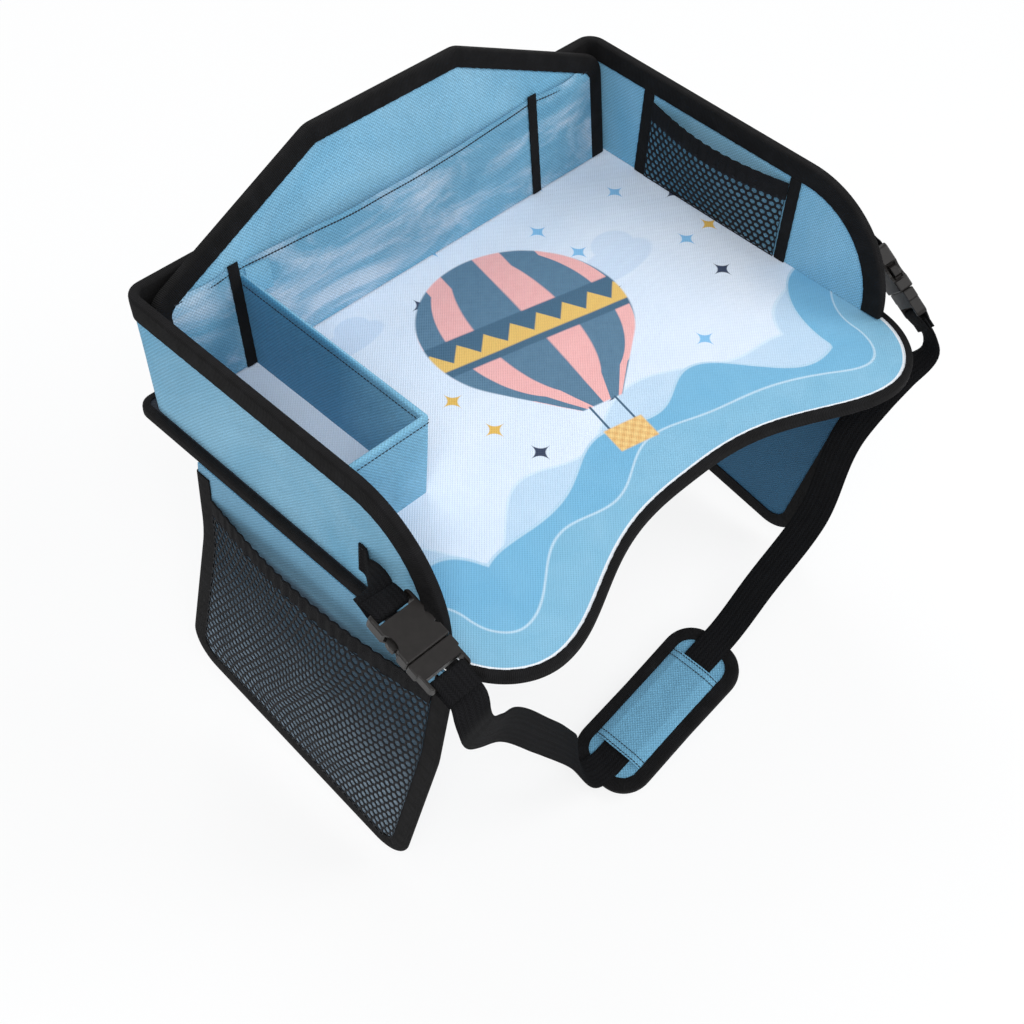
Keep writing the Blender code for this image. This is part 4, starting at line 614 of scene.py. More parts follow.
def wall_edge(first_turn_deg, off, steps):
    """The top edge from the left front foot to the right: points, directions through the wall, and out of the edge."""
    turn = np.radians(np.linspace(first_turn_deg, 90, steps))
    y = WALL_FRONT_Y + WALL_CURVE * (1 - np.cos(turn))
    side = np.linspace(y[-1], WALL_BACK_Y - WALL_R, 60)[1:]
    corner = arc((WALL_X - WALL_R, WALL_BACK_Y - WALL_R), (WALL_R + off, WALL_R + off), 0, 90, 8)[1:]
    rear = np.linspace(WALL_X - WALL_R, 0, 50)[1:]
    plan = np.concatenate([np.column_stack([np.full(len(y) + len(side), WALL_X + off), np.concatenate([y, side])]),
                           corner, np.column_stack([rear, np.full(len(rear), WALL_BACK_Y + off)])])
    points = flat3(plan, BASE_T + WALL_HEIGHT)
    points[:steps, 2] = BASE_T + WALL_HEIGHT * np.sin(turn)
    bend = np.radians(np.interp(np.arange(len(plan)), len(y) + len(side) + np.array([-1, 7]), [0, 90]))
    through = np.stack([np.cos(bend), np.sin(bend), 0 * bend], 1)
    outs = np.tile((0.0, 0.0, 1.0), (len(plan), 1))
    outs[:steps] = unit(np.stack([0 * y, -WALL_HEIGHT * np.cos(turn), WALL_CURVE * np.sin(turn)], 1))
    return tuple(np.concatenate([part * (-1, 1, 1), part[-2::-1]]) for part in (points, through, outs))


def wall_skin(name, off, seed, facing):
    """One skin of the wall, cut to the curved ends and pulled a little unevenly over its board."""
    top, sides, _ = wall_edge(8, off, 26)
    run = run_of(top[:, :2])
    share = np.linspace(0, 1, 15)[:, None]
    z = WALL_FOOT_Z + share * (top[None, :, 2] - WALL_FOOT_Z)
    bow = np.sin(math.pi * share) * (0.00010 + 0.00016 * ripple(run[None], z, 0.06, seed)) * facing
    points = np.stack([top[:, 0] + bow * sides[:, 0], top[:, 1] + bow * sides[:, 1], z], 2)
    uv = np.stack([np.broadcast_to(run, z.shape), z], 2)
    return cloth(name, leaned(points[:, ::facing]), FABRIC_T, blue_cloth, uv[:, ::facing])


def washed_blue(made):
    """The printed blue cloth drifts between a paler and a deeper blue."""
    drift = made.cloud(0.12, 5.0, 0.6, 0.7) * 3.0 - 1.0
    return made.mix(drift, (0.140, 0.385, 0.575), (0.240, 0.490, 0.665))


blue_cloth = oxford("blue_oxford_cloth", washed_blue)
skin_off = (WALL_T - FABRIC_T) / 2
sewn(wall_skin("wall_lining", -skin_off, 21, 1), "tray", "blue_cloth",
     "left_wall_lining", "right_wall_lining", "rear_wall_lining")
sewn(wall_skin("wall_outer_cover", skin_off, 22, -1), "tray", "blue_cloth", "perimeter_outer_cover")
wall_tape = folded_tape("wall_top_tape", *wall_edge(1.25, 0, 34), WALL_T, WALL_TAPE_FACE, TAPE_T, black_tape, False,
                        seed=3, shape=leaned)
sewn(wall_tape, "tray", "binding_tape", "perimeter_binding")


# --- Tall back panel: board between two blue covers, bound round its sides, slopes and peak. ---
# It leans back inside the rear wall. A printed pocket band is sewn across its foot with two black tapes.
PANEL_HALF, PANEL_T, PANEL_HIGH, PANEL_SHOULDER, PEAK_HALF, PANEL_FOOT = 0.2061, 0.0047, 0.1445, 0.080, 0.066, 0.0014
PANEL_TAPE_FACE, PANEL_R = 0.012, 0.020
panel_up = np.array((0, math.sin(PANEL_LEAN), math.cos(PANEL_LEAN)))
panel_front = np.array((0, -math.cos(PANEL_LEAN), math.sin(PANEL_LEAN)))
panel_foot = np.array((0, BACK_FOOT_Y, BASE_T)) - panel_front * (FABRIC_T + SEAM_GAP)


def on_panel(depth):
    """Lays a plan (x, height up the panel) on the leaning panel, at a depth towards the child."""
    def place(x, rise, height):
        return (panel_foot + np.asarray(x)[..., None] * (1, 0, 0) + np.asarray(rise)[..., None] * panel_up
                + np.asarray(depth + height)[..., None] * panel_front)
    return place


def rounded(corners, steps, closed):
    """A line through corners (x, y, radius), each rounded by an arc."""
    points = []
    for i, (x, y, radius) in enumerate(corners):
        here = Vector((x, y))
        if radius == 0 or (not closed and i in (0, len(corners) - 1)):
            points.append(tuple(here))
            continue
        behind, ahead = Vector(corners[i - 1][:2]) - here, Vector(corners[(i + 1) % len(corners)][:2]) - here
        half = behind.angle(ahead) / 2
        run = min(radius / math.tan(half), 0.48 * min(behind.length, ahead.length))
        radius = run * math.tan(half)
        centre = here + (behind.normalized() + ahead.normalized()).normalized() * (radius / math.sin(half))
        first, last = here + behind.normalized() * run - centre, here + ahead.normalized() * run - centre
        turn = first.angle(last)
        for k in range(steps + 1):
            spoke = first * math.sin((1 - k / steps) * turn) + last * math.sin(k / steps * turn)
            points.append(tuple(centre + spoke / math.sin(turn)))
    return np.array(points)


half_edge = [(PANEL_HALF, PANEL_FOOT, 0), (PANEL_HALF, PANEL_SHOULDER, PANEL_R), (PEAK_HALF, PANEL_HIGH, PANEL_R)]
panel_edge = rounded(half_edge + [(-x, y, radius) for x, y, radius in half_edge[::-1]], 12, False)


def panel_relief(seed):
    """The slight unevenness of the panel's cloth, which fades out towards its tape."""
    def relief(x, rise):
        high = np.interp(np.abs(x), [0, PEAK_HALF, PANEL_HALF], [PANEL_HIGH, PANEL_HIGH, PANEL_SHOULDER])
        inside = np.clip((high - rise) / 0.02, 0, 1) * np.clip((PANEL_HALF - np.abs(x)) / 0.02, 0, 1)
        return inside * (0.00016 * ripple(x, rise, 0.09, seed) + 0.00008 * ripple(x, rise, 0.025, seed + 1))
    return relief


for name, edge, step, depth, seed, stands_for in (
        ("tall_panel_face", panel_edge, 0.005, -FABRIC_T / 2, 31, "back_panel_front_cover"),
        ("tall_panel_rear", panel_edge[::-1], 0.006, FABRIC_T / 2 - PANEL_T, 33, "back_panel_rear_cover")):
    cover = panel_of_cloth(name, edge, step, FABRIC_T, on_panel(depth), blue_cloth, panel_relief(seed))
    sewn(cover, "tray", "blue_cloth", stands_for)
x, rise = even(panel_edge, TAPE_STEP, False).T
outwards = edge_outwards(np.stack([x, rise], 1), False)
outs = outwards[:, :1] * (1, 0, 0) + outwards[:, 1:] * panel_up
panel_tape = folded_tape("tall_panel_tape", on_panel(-PANEL_T / 2)(x, rise, 0), np.tile(panel_front, (len(x), 1)), outs,
                         PANEL_T, PANEL_TAPE_FACE, TAPE_T, black_tape, False, seed=5)
sewn(panel_tape, "tray", "binding_tape", "back_panel_binding")

BAND_HEIGHT, BAND_SEAT, BAND_HALF = 0.0786, 0.0007, 0.1938
DIVIDER_X, LEFT_TAPE_X, RIGHT_TAPE_X, BAND_TAPE_HALF = -0.1369, -0.1433, 0.132, 0.004
POCKET_BOW, BOX_HALF_T, SEAM_IN = 0.0085, 0.0024, 0.0036


def watercolour(made):
    """Blue and white washes with long soft edges, as on the printed pocket band."""
    drawn = given(made.tree, "ShaderNodeMapping", {"Vector": made.place(), "Scale": (0.8, 1.0, 2.4),
                                                   "Rotation": (0, 0.35, 0)})
    return made.ramp(made.cloud(1 / 12, 9, 0.64, 0.9, drawn), (
        (0.30, (0.105, 0.300, 0.455)), (0.46, (0.150, 0.360, 0.520)),
        (0.55, (0.275, 0.450, 0.600)), (0.66, (0.46, 0.575, 0.690))))


def band_reach(rise):
    """How far the band reaches to each side at a height, inside the tape of the panel's shoulders."""
    slant = math.atan2(PANEL_HIGH - PANEL_SHOULDER, PANEL_HALF - PEAK_HALF)
    drop = (PANEL_TAPE_FACE + 2 * SEAM_GAP) / math.cos(slant)
    return np.minimum(BAND_HALF, PANEL_HALF - (rise - (PANEL_SHOULDER - drop)) / math.tan(slant))


def band_bow(x, share, reach):
    """How far the band stands forward: each pocket between two seams bows out, most at its mouth."""
    half = BAND_TAPE_HALF + SEAM_GAP
    seams = ((-reach, LEFT_TAPE_X - half), (DIVIDER_X + BOX_HALF_T, RIGHT_TAPE_X - half), (RIGHT_TAPE_X + half, reach))
    bow = np.zeros(np.broadcast(x, share).shape)
    for start, end in seams:
        part = np.clip((x - start) / (end - start), 0, 1)
        slack = POCKET_BOW * np.minimum(1, (end - start) / 0.11) * np.sin(math.pi * part) * np.sin(math.pi / 2 * share)
        crease = 0.0007 * np.sin(math.pi * part) * share * ripple(x, share * 0.08, 0.05, 41)
        bow = bow + np.where((x > start) & (x < end), slack + crease, 0)
    return bow


share = np.linspace(0, 1, 17)[:, None]
rise = PANEL_FOOT + (BAND_HEIGHT - PANEL_FOOT) * share
reach = band_reach(rise)
x = reach * (np.sin(np.linspace(-math.pi / 2, math.pi / 2, 121)) + np.linspace(-1, 1, 121))[None] / 2
band_grid = on_panel(BAND_SEAT)(x, rise + 0 * x, band_bow(x, share, reach))
pocket_band = cloth("pocket_band", band_grid, FABRIC_T, oxford("watercolour_band_cloth", watercolour, roughness=0.74),
                    np.stack([x, rise + 0 * x], 2))
sewn(pocket_band, "tray", "printed_cloth", "back_pocket_band")


def upright_tape(name, half, foot, top, count, place, stands_for):
    """A black tape with wavering edges and a slight swell; place takes (across, along, swell)."""
    across, along = np.linspace(-half, half, 7)[None], np.linspace(foot, top, count)[:, None]
    swell = 0.00015 * np.sin((across / half + 1) * math.pi / 2) * (1 + 0.5 * np.sin(along * 1100))
    run = along + 0 * across
    grid = place(across * (1 + 0.03 * np.sin(along * 700)), run, swell)
    strip = cloth(name, grid, TAPE_T, black_tape, np.stack([run, across + 0 * along], 2))
    sewn(strip, "tray", "binding_tape", stands_for)


on_band = on_panel(BAND_SEAT + FABRIC_T / 2 + SEAM_GAP + TAPE_T / 2)
for side, x in (("left", LEFT_TAPE_X), ("right", RIGHT_TAPE_X)):
    upright_tape(f"pocket_tape_strip_{side}", BAND_TAPE_HALF, PANEL_FOOT, BAND_HEIGHT + 0.003, 40,
                 lambda across, rise, swell: on_band(x + across, rise, swell), f"pocket_tape_{side}")


def geometry_tree(name, **values):
    """A geometry tree with its named inputs' first values, and what those inputs give."""
    tree = bpy.data.node_groups.new(name, "GeometryNodeTree")
    tree.interface.new_socket("Geometry", in_out="INPUT", socket_type="NodeSocketGeometry")
    for key, value in values.items():
        tree.interface.new_socket(key, in_out="INPUT", socket_type="NodeSocketFloat").default_value = value
    tree.interface.new_socket("Material", in_out="INPUT", socket_type="NodeSocketMaterial")
    tree.interface.new_socket("Geometry", in_out="OUTPUT", socket_type="NodeSocketGeometry")
    return tree, {socket.name: Value(socket) for socket in node(tree, "NodeGroupInput").outputs}


def ends_with(tree, geometry, material):
    """The tree gives one mesh of one material."""
    solid = given(tree, "GeometryNodeRealizeInstances", {0: geometry})
    finished = given(tree, "GeometryNodeSetMaterial", {"Geometry": solid, "Material": material})
    node(tree, "NodeGroupOutput", {0: finished})


def stitch_row():
    """Puts a short rounded stitch at even steps along every line of its mesh."""
    tree, own = geometry_tree("stitch_row", Pitch=0.0028, Stitch=0.0024, Thread=0.0004)
    line = given(tree, "GeometryNodeMeshToCurve", {0: own["Geometry"]})
    spots = node(tree, "GeometryNodeCurveToPoints", {"Curve": line, "Length": own["Pitch"]}, mode="LENGTH").outputs
    bead = given(tree, "GeometryNodeMeshUVSphere", {"Segments": 6, "Rings": 5, "Radius": 1.0})
    size = given(tree, "ShaderNodeCombineXYZ", {0: own["Thread"], 1: own["Thread"], 2: own["Stitch"] * 0.5})
    ends_with(tree, given(tree, "GeometryNodeInstanceOnPoints", {
        "Points": Value(spots["Points"]), "Instance": bead, "Rotation": Value(spots["Rotation"]), "Scale": size}),
        own["Material"])
    return tree


def grown_from(name, tree, points, links, faces, values):
    """Runs a geometry tree on a small mesh of lines or faces and keeps the result as a plain mesh."""
    data = bpy.data.meshes.new(name)
    data.from_pydata(np.asarray(points, float).tolist(), links, faces)
    piece = bpy.data.objects.new(name, data)
    scene.collection.objects.link(piece)
    step = piece.modifiers.new("made", "NODES")
    step.node_group = tree
    for item in tree.interface.items_tree:
        if item.in_out == "INPUT" and item.name in values:
            step[item.identifier] = values[item.name]
    bpy.context.view_layer.update()
    result = bpy.data.meshes.new_from_object(piece.evaluated_get(bpy.context.evaluated_depsgraph_get()))
    piece.modifiers.remove(step)
    piece.data = result
    result.name = name
    result.polygons.foreach_set("use_smooth", np.ones(len(result.polygons), bool))
    return piece


def thread_of(name, colour):
    """Sewing thread, darker and lighter along its twist."""
    made = Finish(name, 0.7)
    made.paint(made.mix(made.cloud(0.0008), colour, tuple(0.6 * part + 0.012 for part in colour)))
    return made.material


stitches = stitch_row()
dark_thread = thread_of("dark_thread", (0.010, 0.015, 0.024))
black_thread = thread_of("black_thread", (0.012, 0.012, 0.013))


def stitched(name, lines, body, slot, thread, **values):
    """Rows of stitches along lines of points, each laid just proud of the cloth it sews."""
    points, links = [], []
    for line in lines:
        links += [(len(points) + i, len(points) + i + 1) for i in range(len(line) - 1)]
        points += [tuple(point) for point in line]
    sewn(grown_from(name, stitches, points, links, [], {"Material": thread, **values}), body, slot)


def raised(grid, row, lift):
    """A line along one row of a cloth grid, lifted off its right side."""
    facing = unit(np.cross(np.gradient(grid, axis=1), np.gradient(grid, axis=0)))
    return (grid + facing * lift)[row]


x = np.linspace(-0.190, 0.190, 200)
low = on_panel(BAND_SEAT)(x, np.full(200, BAND_HEIGHT - SEAM_IN), band_bow(x, 0.95, band_reach(BAND_HEIGHT)) + 0.0005)
stitched("pocket_band_stitches", [low], "tray", "printed_cloth", dark_thread, Pitch=0.0025, Thread=0.0006)


# --- Storage box in the rear left corner: two stiff boards in a blue sleeve, open at the top. ---
# The sleeve runs from the band to the front corner and on to the left wall; a small loose tab lies over the band.
BOX_FRONT_Y, BOX_TOP_Z, BOX_BOARD_T, BOX_R = -0.0049, 0.0736, 0.002, 0.0010
TAB_WIDTH, TAB_HEIGHT, TAB_START = 0.018, 0.022, DIVIDER_X + BOX_HALF_T
rear_y = BACK_FOOT_Y - SEAM_GAP / math.cos(PANEL_LEAN) + (BOX_TOP_Z - BASE_T) * LEAN_SLOPE
bend = arc((DIVIDER_X - BOX_R, BOX_FRONT_Y + BOX_R), (BOX_R, BOX_R), 0, -90, 6)
run_back = np.column_stack([np.full(56, DIVIDER_X), np.linspace(rear_y, BOX_FRONT_Y + 0.0015, 56)])
run_left = np.column_stack([np.linspace(DIVIDER_X - 0.0015, SEAM_GAP - INNER_HALF, 30), np.full(30, BOX_FRONT_Y)])
path = np.concatenate([run_back, bend, run_left])
along = unit(np.gradient(path, axis=0))
across = np.column_stack([along[:, 1], -along[:, 0], 0 * path[:, 0]])
lean = np.clip((path[:, 1] - 0.06) / (rear_y - 0.06), 0, 1)
outs = np.column_stack([0 * lean, LEAN_SLOPE * lean, np.ones(len(path))])


def box_blue(made):
    """Mid blue outside; the side that faces into the box is painted a deeper blue as painted shade, deepest towards the
    back.
    """
    x, y, _ = made.parts(made.place())
    mottled = made.mix(made.cloud(0.05, 6.0, 0.6, 0.8), (0.125, 0.350, 0.520), (0.245, 0.490, 0.660))
    # Painted shade on the box's inner face, growing towards the back.
    deep = made.below(x, DIVIDER_X, 0.0004) * made.span(y, 0.000, 0.075) * 0.85
    return made.mix(deep, mottled, (0.022, 0.150, 0.290))


box_cloth = oxford("box_blue_cloth", box_blue)
box_top = flat3(path, BOX_TOP_Z)
sewn(folded_tape("storage_box_sleeve", box_top, across, outs, BOX_BOARD_T, BOX_TOP_Z - WALL_FOOT_Z, FABRIC_T,
                 box_cloth, False, nose_r=0.0016, seed=7), "tray", "blue_cloth", "box_sleeve")
outside, within = (box_top + across * side * (BOX_BOARD_T / 2 + SEAM_GAP + FABRIC_T + 0.0003) - outs * SEAM_IN
                   for side in (1, -1))
stitched("storage_box_stitches", [within[1:58], within[61:-1], outside[1:]], "tray", "blue_cloth", dark_thread)

tab_x = np.linspace(TAB_START, TAB_START + TAB_WIDTH, 13)[None]
tab_top = (0.0685 + BAND_HEIGHT) / 2
tab_rise = np.linspace(tab_top - TAB_HEIGHT, tab_top, 13)[:, None]
curl = 0.0006 * np.clip((tab_x - DIVIDER_X - 0.012) / 0.008, 0, 1) ** 2
tab_grid = on_panel(BAND_SEAT + FABRIC_T + SEAM_GAP)(tab_x + 0 * tab_rise, tab_rise + 0 * tab_x,
                                                     band_bow(tab_x, tab_rise / BAND_HEIGHT, BAND_HALF) + curl)
sewn(cloth("box_corner_tab", tab_grid, FABRIC_T, box_cloth), "tray", "blue_cloth", "box_tab")


# --- Mesh pocket on the right wall: knitted mesh gathered under a black elastic, held by two black tapes. ---
# The mesh is one body of fine strands round six-sided holes.
def mesh_cloth():
    """Turns triangles into knitted mesh: each point becomes a six-sided cell with a hole, then gets its thickness."""
    tree, own = geometry_tree("pocket_mesh", Hole=0.66, Thickness=0.0006)
    cells = given(tree, "GeometryNodeDualMesh", {0: own["Geometry"], "Keep Boundaries": True})
    inset = node(tree, "GeometryNodeExtrudeMesh", {"Mesh": cells, "Offset Scale": 0.0, "Individual": True},
                 mode="FACES").outputs
    top = Value(inset["Top"])
    shrunk = given(tree, "GeometryNodeScaleElements", {"Geometry": Value(inset["Mesh"]), "Selection": top,
                                                       "Scale": own["Hole"]}, domain="FACE")
    strands = given(tree, "GeometryNodeDeleteGeometry", {0: shrunk, 1: top}, domain="FACE")
    joined = given(tree, "GeometryNodeMergeByDistance", {"Geometry": strands, "Distance": 0.00002})
    thick = given(tree, "GeometryNodeExtrudeMesh", {"Mesh": joined, "Offset Scale": own["Thickness"],
                                                    "Individual": False}, mode="FACES")
    whole = node(tree, "GeometryNodeJoinGeometry")
    for part in (thick, given(tree, "GeometryNodeFlipFaces", {0: joined})):
        tree.links.new(part.socket, whole.inputs[0])
    closed = given(tree, "GeometryNodeMergeByDistance", {"Geometry": Value(whole.outputs[0]), "Distance": 0.00001})
    ends_with(tree, closed, own["Material"])
    return tree


mesh_tree = mesh_cloth()
mesh_yarn = Finish("black_mesh_yarn", 0.7, 0.0, 0.12)
mesh_yarn.paint(mesh_yarn.mix(mesh_yarn.cloud(0.0015), (0.006, 0.0065, 0.008), (0.014, 0.015, 0.018)))
mesh_yarn.relief(mesh_yarn.cloud(0.0006, 2.0), 0.0001)


def lattice(width, height, pitch, stretch=1.0):
    """A flat patch of even triangles, with the mesh's holes to come at its points."""
    lines = np.arange(0, height + pitch * 0.2, pitch * stretch * math.sqrt(3) / 2)
    lines = lines * height / lines[-1]
    count = int(round(width / pitch))
    whole, offset = np.linspace(0, width, count + 1), (np.arange(count) + 0.5) * width / count
    rows = [np.concatenate([[0], offset, [width]]) if i % 2 else whole for i in range(len(lines))]
    points = np.concatenate([np.column_stack([row, np.full(len(row), z)]) for row, z in zip(rows, lines)])
    filled = delaunay_2d_cdt([Vector(point) for point in points.tolist()], [], [], 0, 1e-6)
    return np.array([tuple(point) for point in filled[0]]), [tuple(face) for face in filled[2]]


def pocket_bulge(across, up):
    """0 at a pocket's sides and foot, and 1 at the middle of its mouth."""
    return np.sin(math.pi * np.clip(across, 0, 1)) * np.sin(math.pi / 2 * np.clip(up, 0, 1))


NET_SEAT, NET_BULGE = 0.0014, 0.010
SIDE_START, SIDE_STOP, SIDE_MOUTH, SIDE_TOP = -0.0117, 0.1157, 0.0587, 0.0727


def in_side_pocket(y, z, pleats=0.0006):
    """The mesh's sweep off the wall, with the small pleats that its elastic draws in towards the mouth."""
    part, up = (y - SIDE_START) / (SIDE_STOP - SIDE_START), (z - WALL_FOOT_Z) / (SIDE_MOUTH - WALL_FOOT_Z)
    fold = pleats * np.clip(up, 0, 1) ** 2 * np.sin(2 * math.pi * part * 15) * np.sin(math.pi * np.clip(part, 0, 1))
    return np.stack([INNER_HALF - NET_SEAT - NET_BULGE * pocket_bulge(part, up) - fold, y + 0 * z, z + 0 * y], -1)


plan, faces = lattice(SIDE_STOP - SIDE_START - 0.0012, SIDE_MOUTH - WALL_FOOT_Z + 0.002, 0.0058)
side_mesh = grown_from("side_pocket_mesh", mesh_tree,
                       in_side_pocket(SIDE_STOP - 0.0006 - plan[:, 0], WALL_FOOT_Z + 0.0004 + plan[:, 1]), [], faces,
                       {"Hole": 0.70, "Thickness": 0.0007, "Material": mesh_yarn.material})
sewn(side_mesh, "tray", "pocket_mesh", "side_pocket_net")

elastic = grosgrain("black_pocket_elastic", (0.0070, 0.0070, 0.0078))
ELASTIC_T, ELASTIC_WIDTH = 0.0012, 0.014
part = np.linspace(0, 1, 91)[None]
z = np.linspace(SIDE_MOUTH, SIDE_TOP, 9)[:, None]
grid = in_side_pocket(SIDE_STOP - (SIDE_STOP - SIDE_START) * part, z + 0 * part)
puff = 0.0003 * np.sin((z - SIDE_MOUTH) / (SIDE_TOP - SIDE_MOUTH) * math.pi) * (1 + np.sin(part * 2 * math.pi * 30))
grid[..., 0] -= puff * np.sin(math.pi * part) ** 0.3
sewn(cloth("side_pocket_elastic_hem", grid, ELASTIC_T, elastic), "tray", "elastic_tape", "side_pocket_elastic")

SIDE_TAPE_HALF, SIDE_TAPE_TOP = 0.0045, 0.0789
for where, y in (("rear", 0.125 - SIDE_TAPE_HALF), ("front", -0.021 + SIDE_TAPE_HALF)):
    upright_tape(f"side_pocket_tape_strip_{where}", -SIDE_TAPE_HALF, WALL_FOOT_Z, SIDE_TAPE_TOP, 36,
                 lambda across, z, swell: np.stack([INNER_HALF - 0.0008 - swell + 0 * z, y + across, z], 2),
                 f"side_pocket_tape_{where}")


# --- Left flap: a padded blue panel hinged along the tray's edge, with a deep mesh pocket on its outer face. ---
# Black tape binds its sides and foot; the pocket's elastic runs across just under the hinge.
FLAP_AXIS_X, FLAP_AXIS_Z, FLAP_T, FLAP_TAPE_FACE, BINDING_START = 0.2202, -0.0037, 0.002, 0.012, 0.006
FLAP_FRONT_DEPTH, FLAP_REAR_DEPTH, FLAP_R, FLAP_BEND_R = 0.260, 0.222, 0.026, 0.150
FLAP_AHEAD, FLAP_BEHIND = 0.262, 0.038
flap_edge = [(0.272, -BINDING_START, 0), (FLAP_AHEAD, -0.100, FLAP_BEND_R), (0.231, -FLAP_FRONT_DEPTH, FLAP_R),
             (0.005, -FLAP_REAR_DEPTH, FLAP_R), (FLAP_BEHIND, -0.065, FLAP_BEND_R), (FLAP_BEHIND, -BINDING_START, 0)]
flap_edge = rounded([(BACK_FOOT_Y - ahead, z, radius) for ahead, z, radius in flap_edge], 14, False)
FLAP_RISE = math.sqrt((0.0024 - SEAM_GAP) ** 2 - (FLAP_T / 2) ** 2)


def on_flap(sign):
    """Lays a plan (y, height) on a hanging flap; its third measure grows outwards, away from the tray."""
    def place(y, rise, height):
        x = sign * (FLAP_AXIS_X + height)
        return np.stack([x + 0 * np.asarray(y), y + 0 * x, FLAP_AXIS_Z + rise + 0 * x], -1)
    return place


def flap_parts(side, sign, seed, surface):
    """The flap's padded panel, its tape, and the strip of cloth along the hinge."""
    def relief(y, rise):
        inside = np.clip(-rise / 0.02, 0, 1) * np.clip((0.22 + rise) / 0.03, 0, 1)
        return inside * (0.00016 * ripple(y, rise, 0.08, seed) + 0.00008 * ripple(y, rise, 0.02, seed + 1))

    body, place = f"{side}_flap", on_flap(sign)
    whole = np.concatenate([flap_edge, [(flap_edge[end][0], FLAP_RISE) for end in (-1, 0)]])
    skin = panel_of_cloth(f"{side}_flap_cloth", whole, 0.0055, FLAP_T, place, surface, relief)
    if sign < 0:
        mesh = bmesh.new()
        mesh.from_mesh(skin.data)
        bmesh.ops.reverse_faces(mesh, faces=mesh.faces)
        mesh.to_mesh(skin.data)
        mesh.free()
    sewn(skin, body, "blue_cloth", f"{side}_flap_panel")
    line = even(flap_edge, TAPE_STEP, False)
    tape = folded_tape(f"{side}_flap_tape", place(*line.T, 0), np.tile((1.0, 0, 0), (len(line), 1)),
                       np.column_stack([0 * line[:, 0], edge_outwards(line, False)]), FLAP_T, FLAP_TAPE_FACE, TAPE_T,
                       black_tape, False, seed=seed)
    sewn(tape, body, "binding_tape", f"{side}_flap_binding")
    run, fall = np.meshgrid(np.linspace(line[0, 0] + 0.001, line[-1, 0] - 0.001, 60), np.linspace(0.0031, -0.0060, 10))
    hinge = cloth(f"{side}_flap_hinge_cloth", place(run, fall, 0 * run), 0.0007, surface)
    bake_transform(hinge)


def painted_net_shade_blue(made):
    """Blue flap cloth; behind the mesh its outer face is painted darker and greyer as painted shade, darkest just under
    the elastic and fading to a paler grey lower down.
    """
    x, _, z = made.parts(made.place())
    # Painted shade behind the mesh, darkest under the elastic and paler grey towards the foot.
    low = made.span(z + made.cloud(0.04) * 0.09, -0.045, -0.150)
    painted_shade_area = made.below(x, -FLAP_AXIS_X - 0.0005, 0.0003) * made.below(z, FLAP_AXIS_Z - 0.038, 0.004)
    return made.mix(painted_shade_area, (0.150, 0.350, 0.510), made.mix(low, (0.060, 0.125, 0.190), (0.330, 0.440, 0.550)))


flap_parts("left", -1, 51, oxford("flap_blue_cloth", painted_net_shade_blue))


def crossing(line, rise):
    """Where a line of (y, height) first passes each height."""
    found = np.full(np.shape(rise), line[0, 0])
    done = np.zeros(np.shape(rise), bool)
    for (y0, z0), (y1, z1) in zip(line, line[1:]):
        hit = ~done & (np.minimum(z0, z1) <= rise) & (rise <= np.maximum(z0, z1))
        found[hit] = y0 + (y1 - y0) * (rise[hit] - z0) / ((z1 - z0) or 1)
        done |= hit
    return found


def flap_span(margin, depth):
    """The front and back limits (y) inside the flap's tape, at a depth below the hinge."""
    line = flap_edge - edge_outwards(flap_edge, False) * (FLAP_TAPE_FACE + margin)
    return [crossing(way, np.clip(-depth, 0.029 - foot, -BINDING_START))
            for way, foot in ((line, FLAP_FRONT_DEPTH), (line[::-1], FLAP_REAR_DEPTH))]


MARGIN, POCKET_TOP = 0.0002, 0.023
NET_TOP, NET_WIDTH = POCKET_TOP + ELASTIC_WIDTH, FLAP_AHEAD - FLAP_BEHIND - 2 * FLAP_TAPE_FACE
NET_FRONT, NET_REAR = FLAP_FRONT_DEPTH - FLAP_TAPE_FACE - 2 * MARGIN, FLAP_REAR_DEPTH - FLAP_TAPE_FACE - 2 * MARGIN
NET_HEIGHT = (NET_FRONT + NET_REAR) / 2 - NET_TOP


def in_left_net(across, up, folds=1.0):
    """The mesh's sweep off the flap, with folds that spread down from its gathered mouth."""
    part, rise = across / NET_WIDTH, up / NET_HEIGHT
    low = np.clip(rise, 0, 1)
    drift = np.sin(2 * math.pi * (3.2 * part + 1.3 * rise + 0.1))
    part = part + 0.014 * drift * np.sin(math.pi * np.clip(part, 0, 1)) * low
    floor = NET_FRONT + (NET_REAR - NET_FRONT) * part
    depth = floor + (NET_TOP - floor) * rise
    front, rear = flap_span(MARGIN, depth)
    inside = np.sin(math.pi * np.clip(part, 0, 1)) ** 0.5
    pleat = 0.0013 * low ** 3 * np.sin(2 * math.pi * part * 24 + 0.6 * np.sin(9 * part))
    sway = 0.0021 * np.sin(math.pi * low) ** 0.7 * ripple(part * 0.2 + low * 0.09, low * 0.03, 0.045, 63)
    fold = folds * inside * (np.maximum(pleat, -0.0008) + np.maximum(sway, -0.001)) * np.clip(low * 6, 0, 1)
    out = FLAP_T / 2 + NET_SEAT + NET_BULGE * pocket_bulge(part, rise) + fold
    return on_flap(-1)(front + (rear - front) * part, -depth, out)


plan, faces = lattice(NET_WIDTH, NET_HEIGHT, 0.0054, 1.5)
corner = 0.015
off = np.minimum(plan[:, 0], NET_WIDTH - plan[:, 0])
kept = ~((off < corner) & (plan[:, 1] < corner) & (np.hypot(off - corner, plan[:, 1] - corner) > corner + 0.001))
renumber = np.cumsum(kept) - 1
faces = [tuple(int(renumber[i]) for i in face) for face in faces if all(kept[i] for i in face)]
plan = plan[kept]
left_mesh = grown_from("left_flap_mesh", mesh_tree, in_left_net(NET_WIDTH - plan[:, 0], plan[:, 1]), [], faces,
                       {"Hole": 0.74, "Thickness": 0.0006, "Material": mesh_yarn.material})
sewn(left_mesh, "left_flap", "pocket_mesh", "left_flap_net")

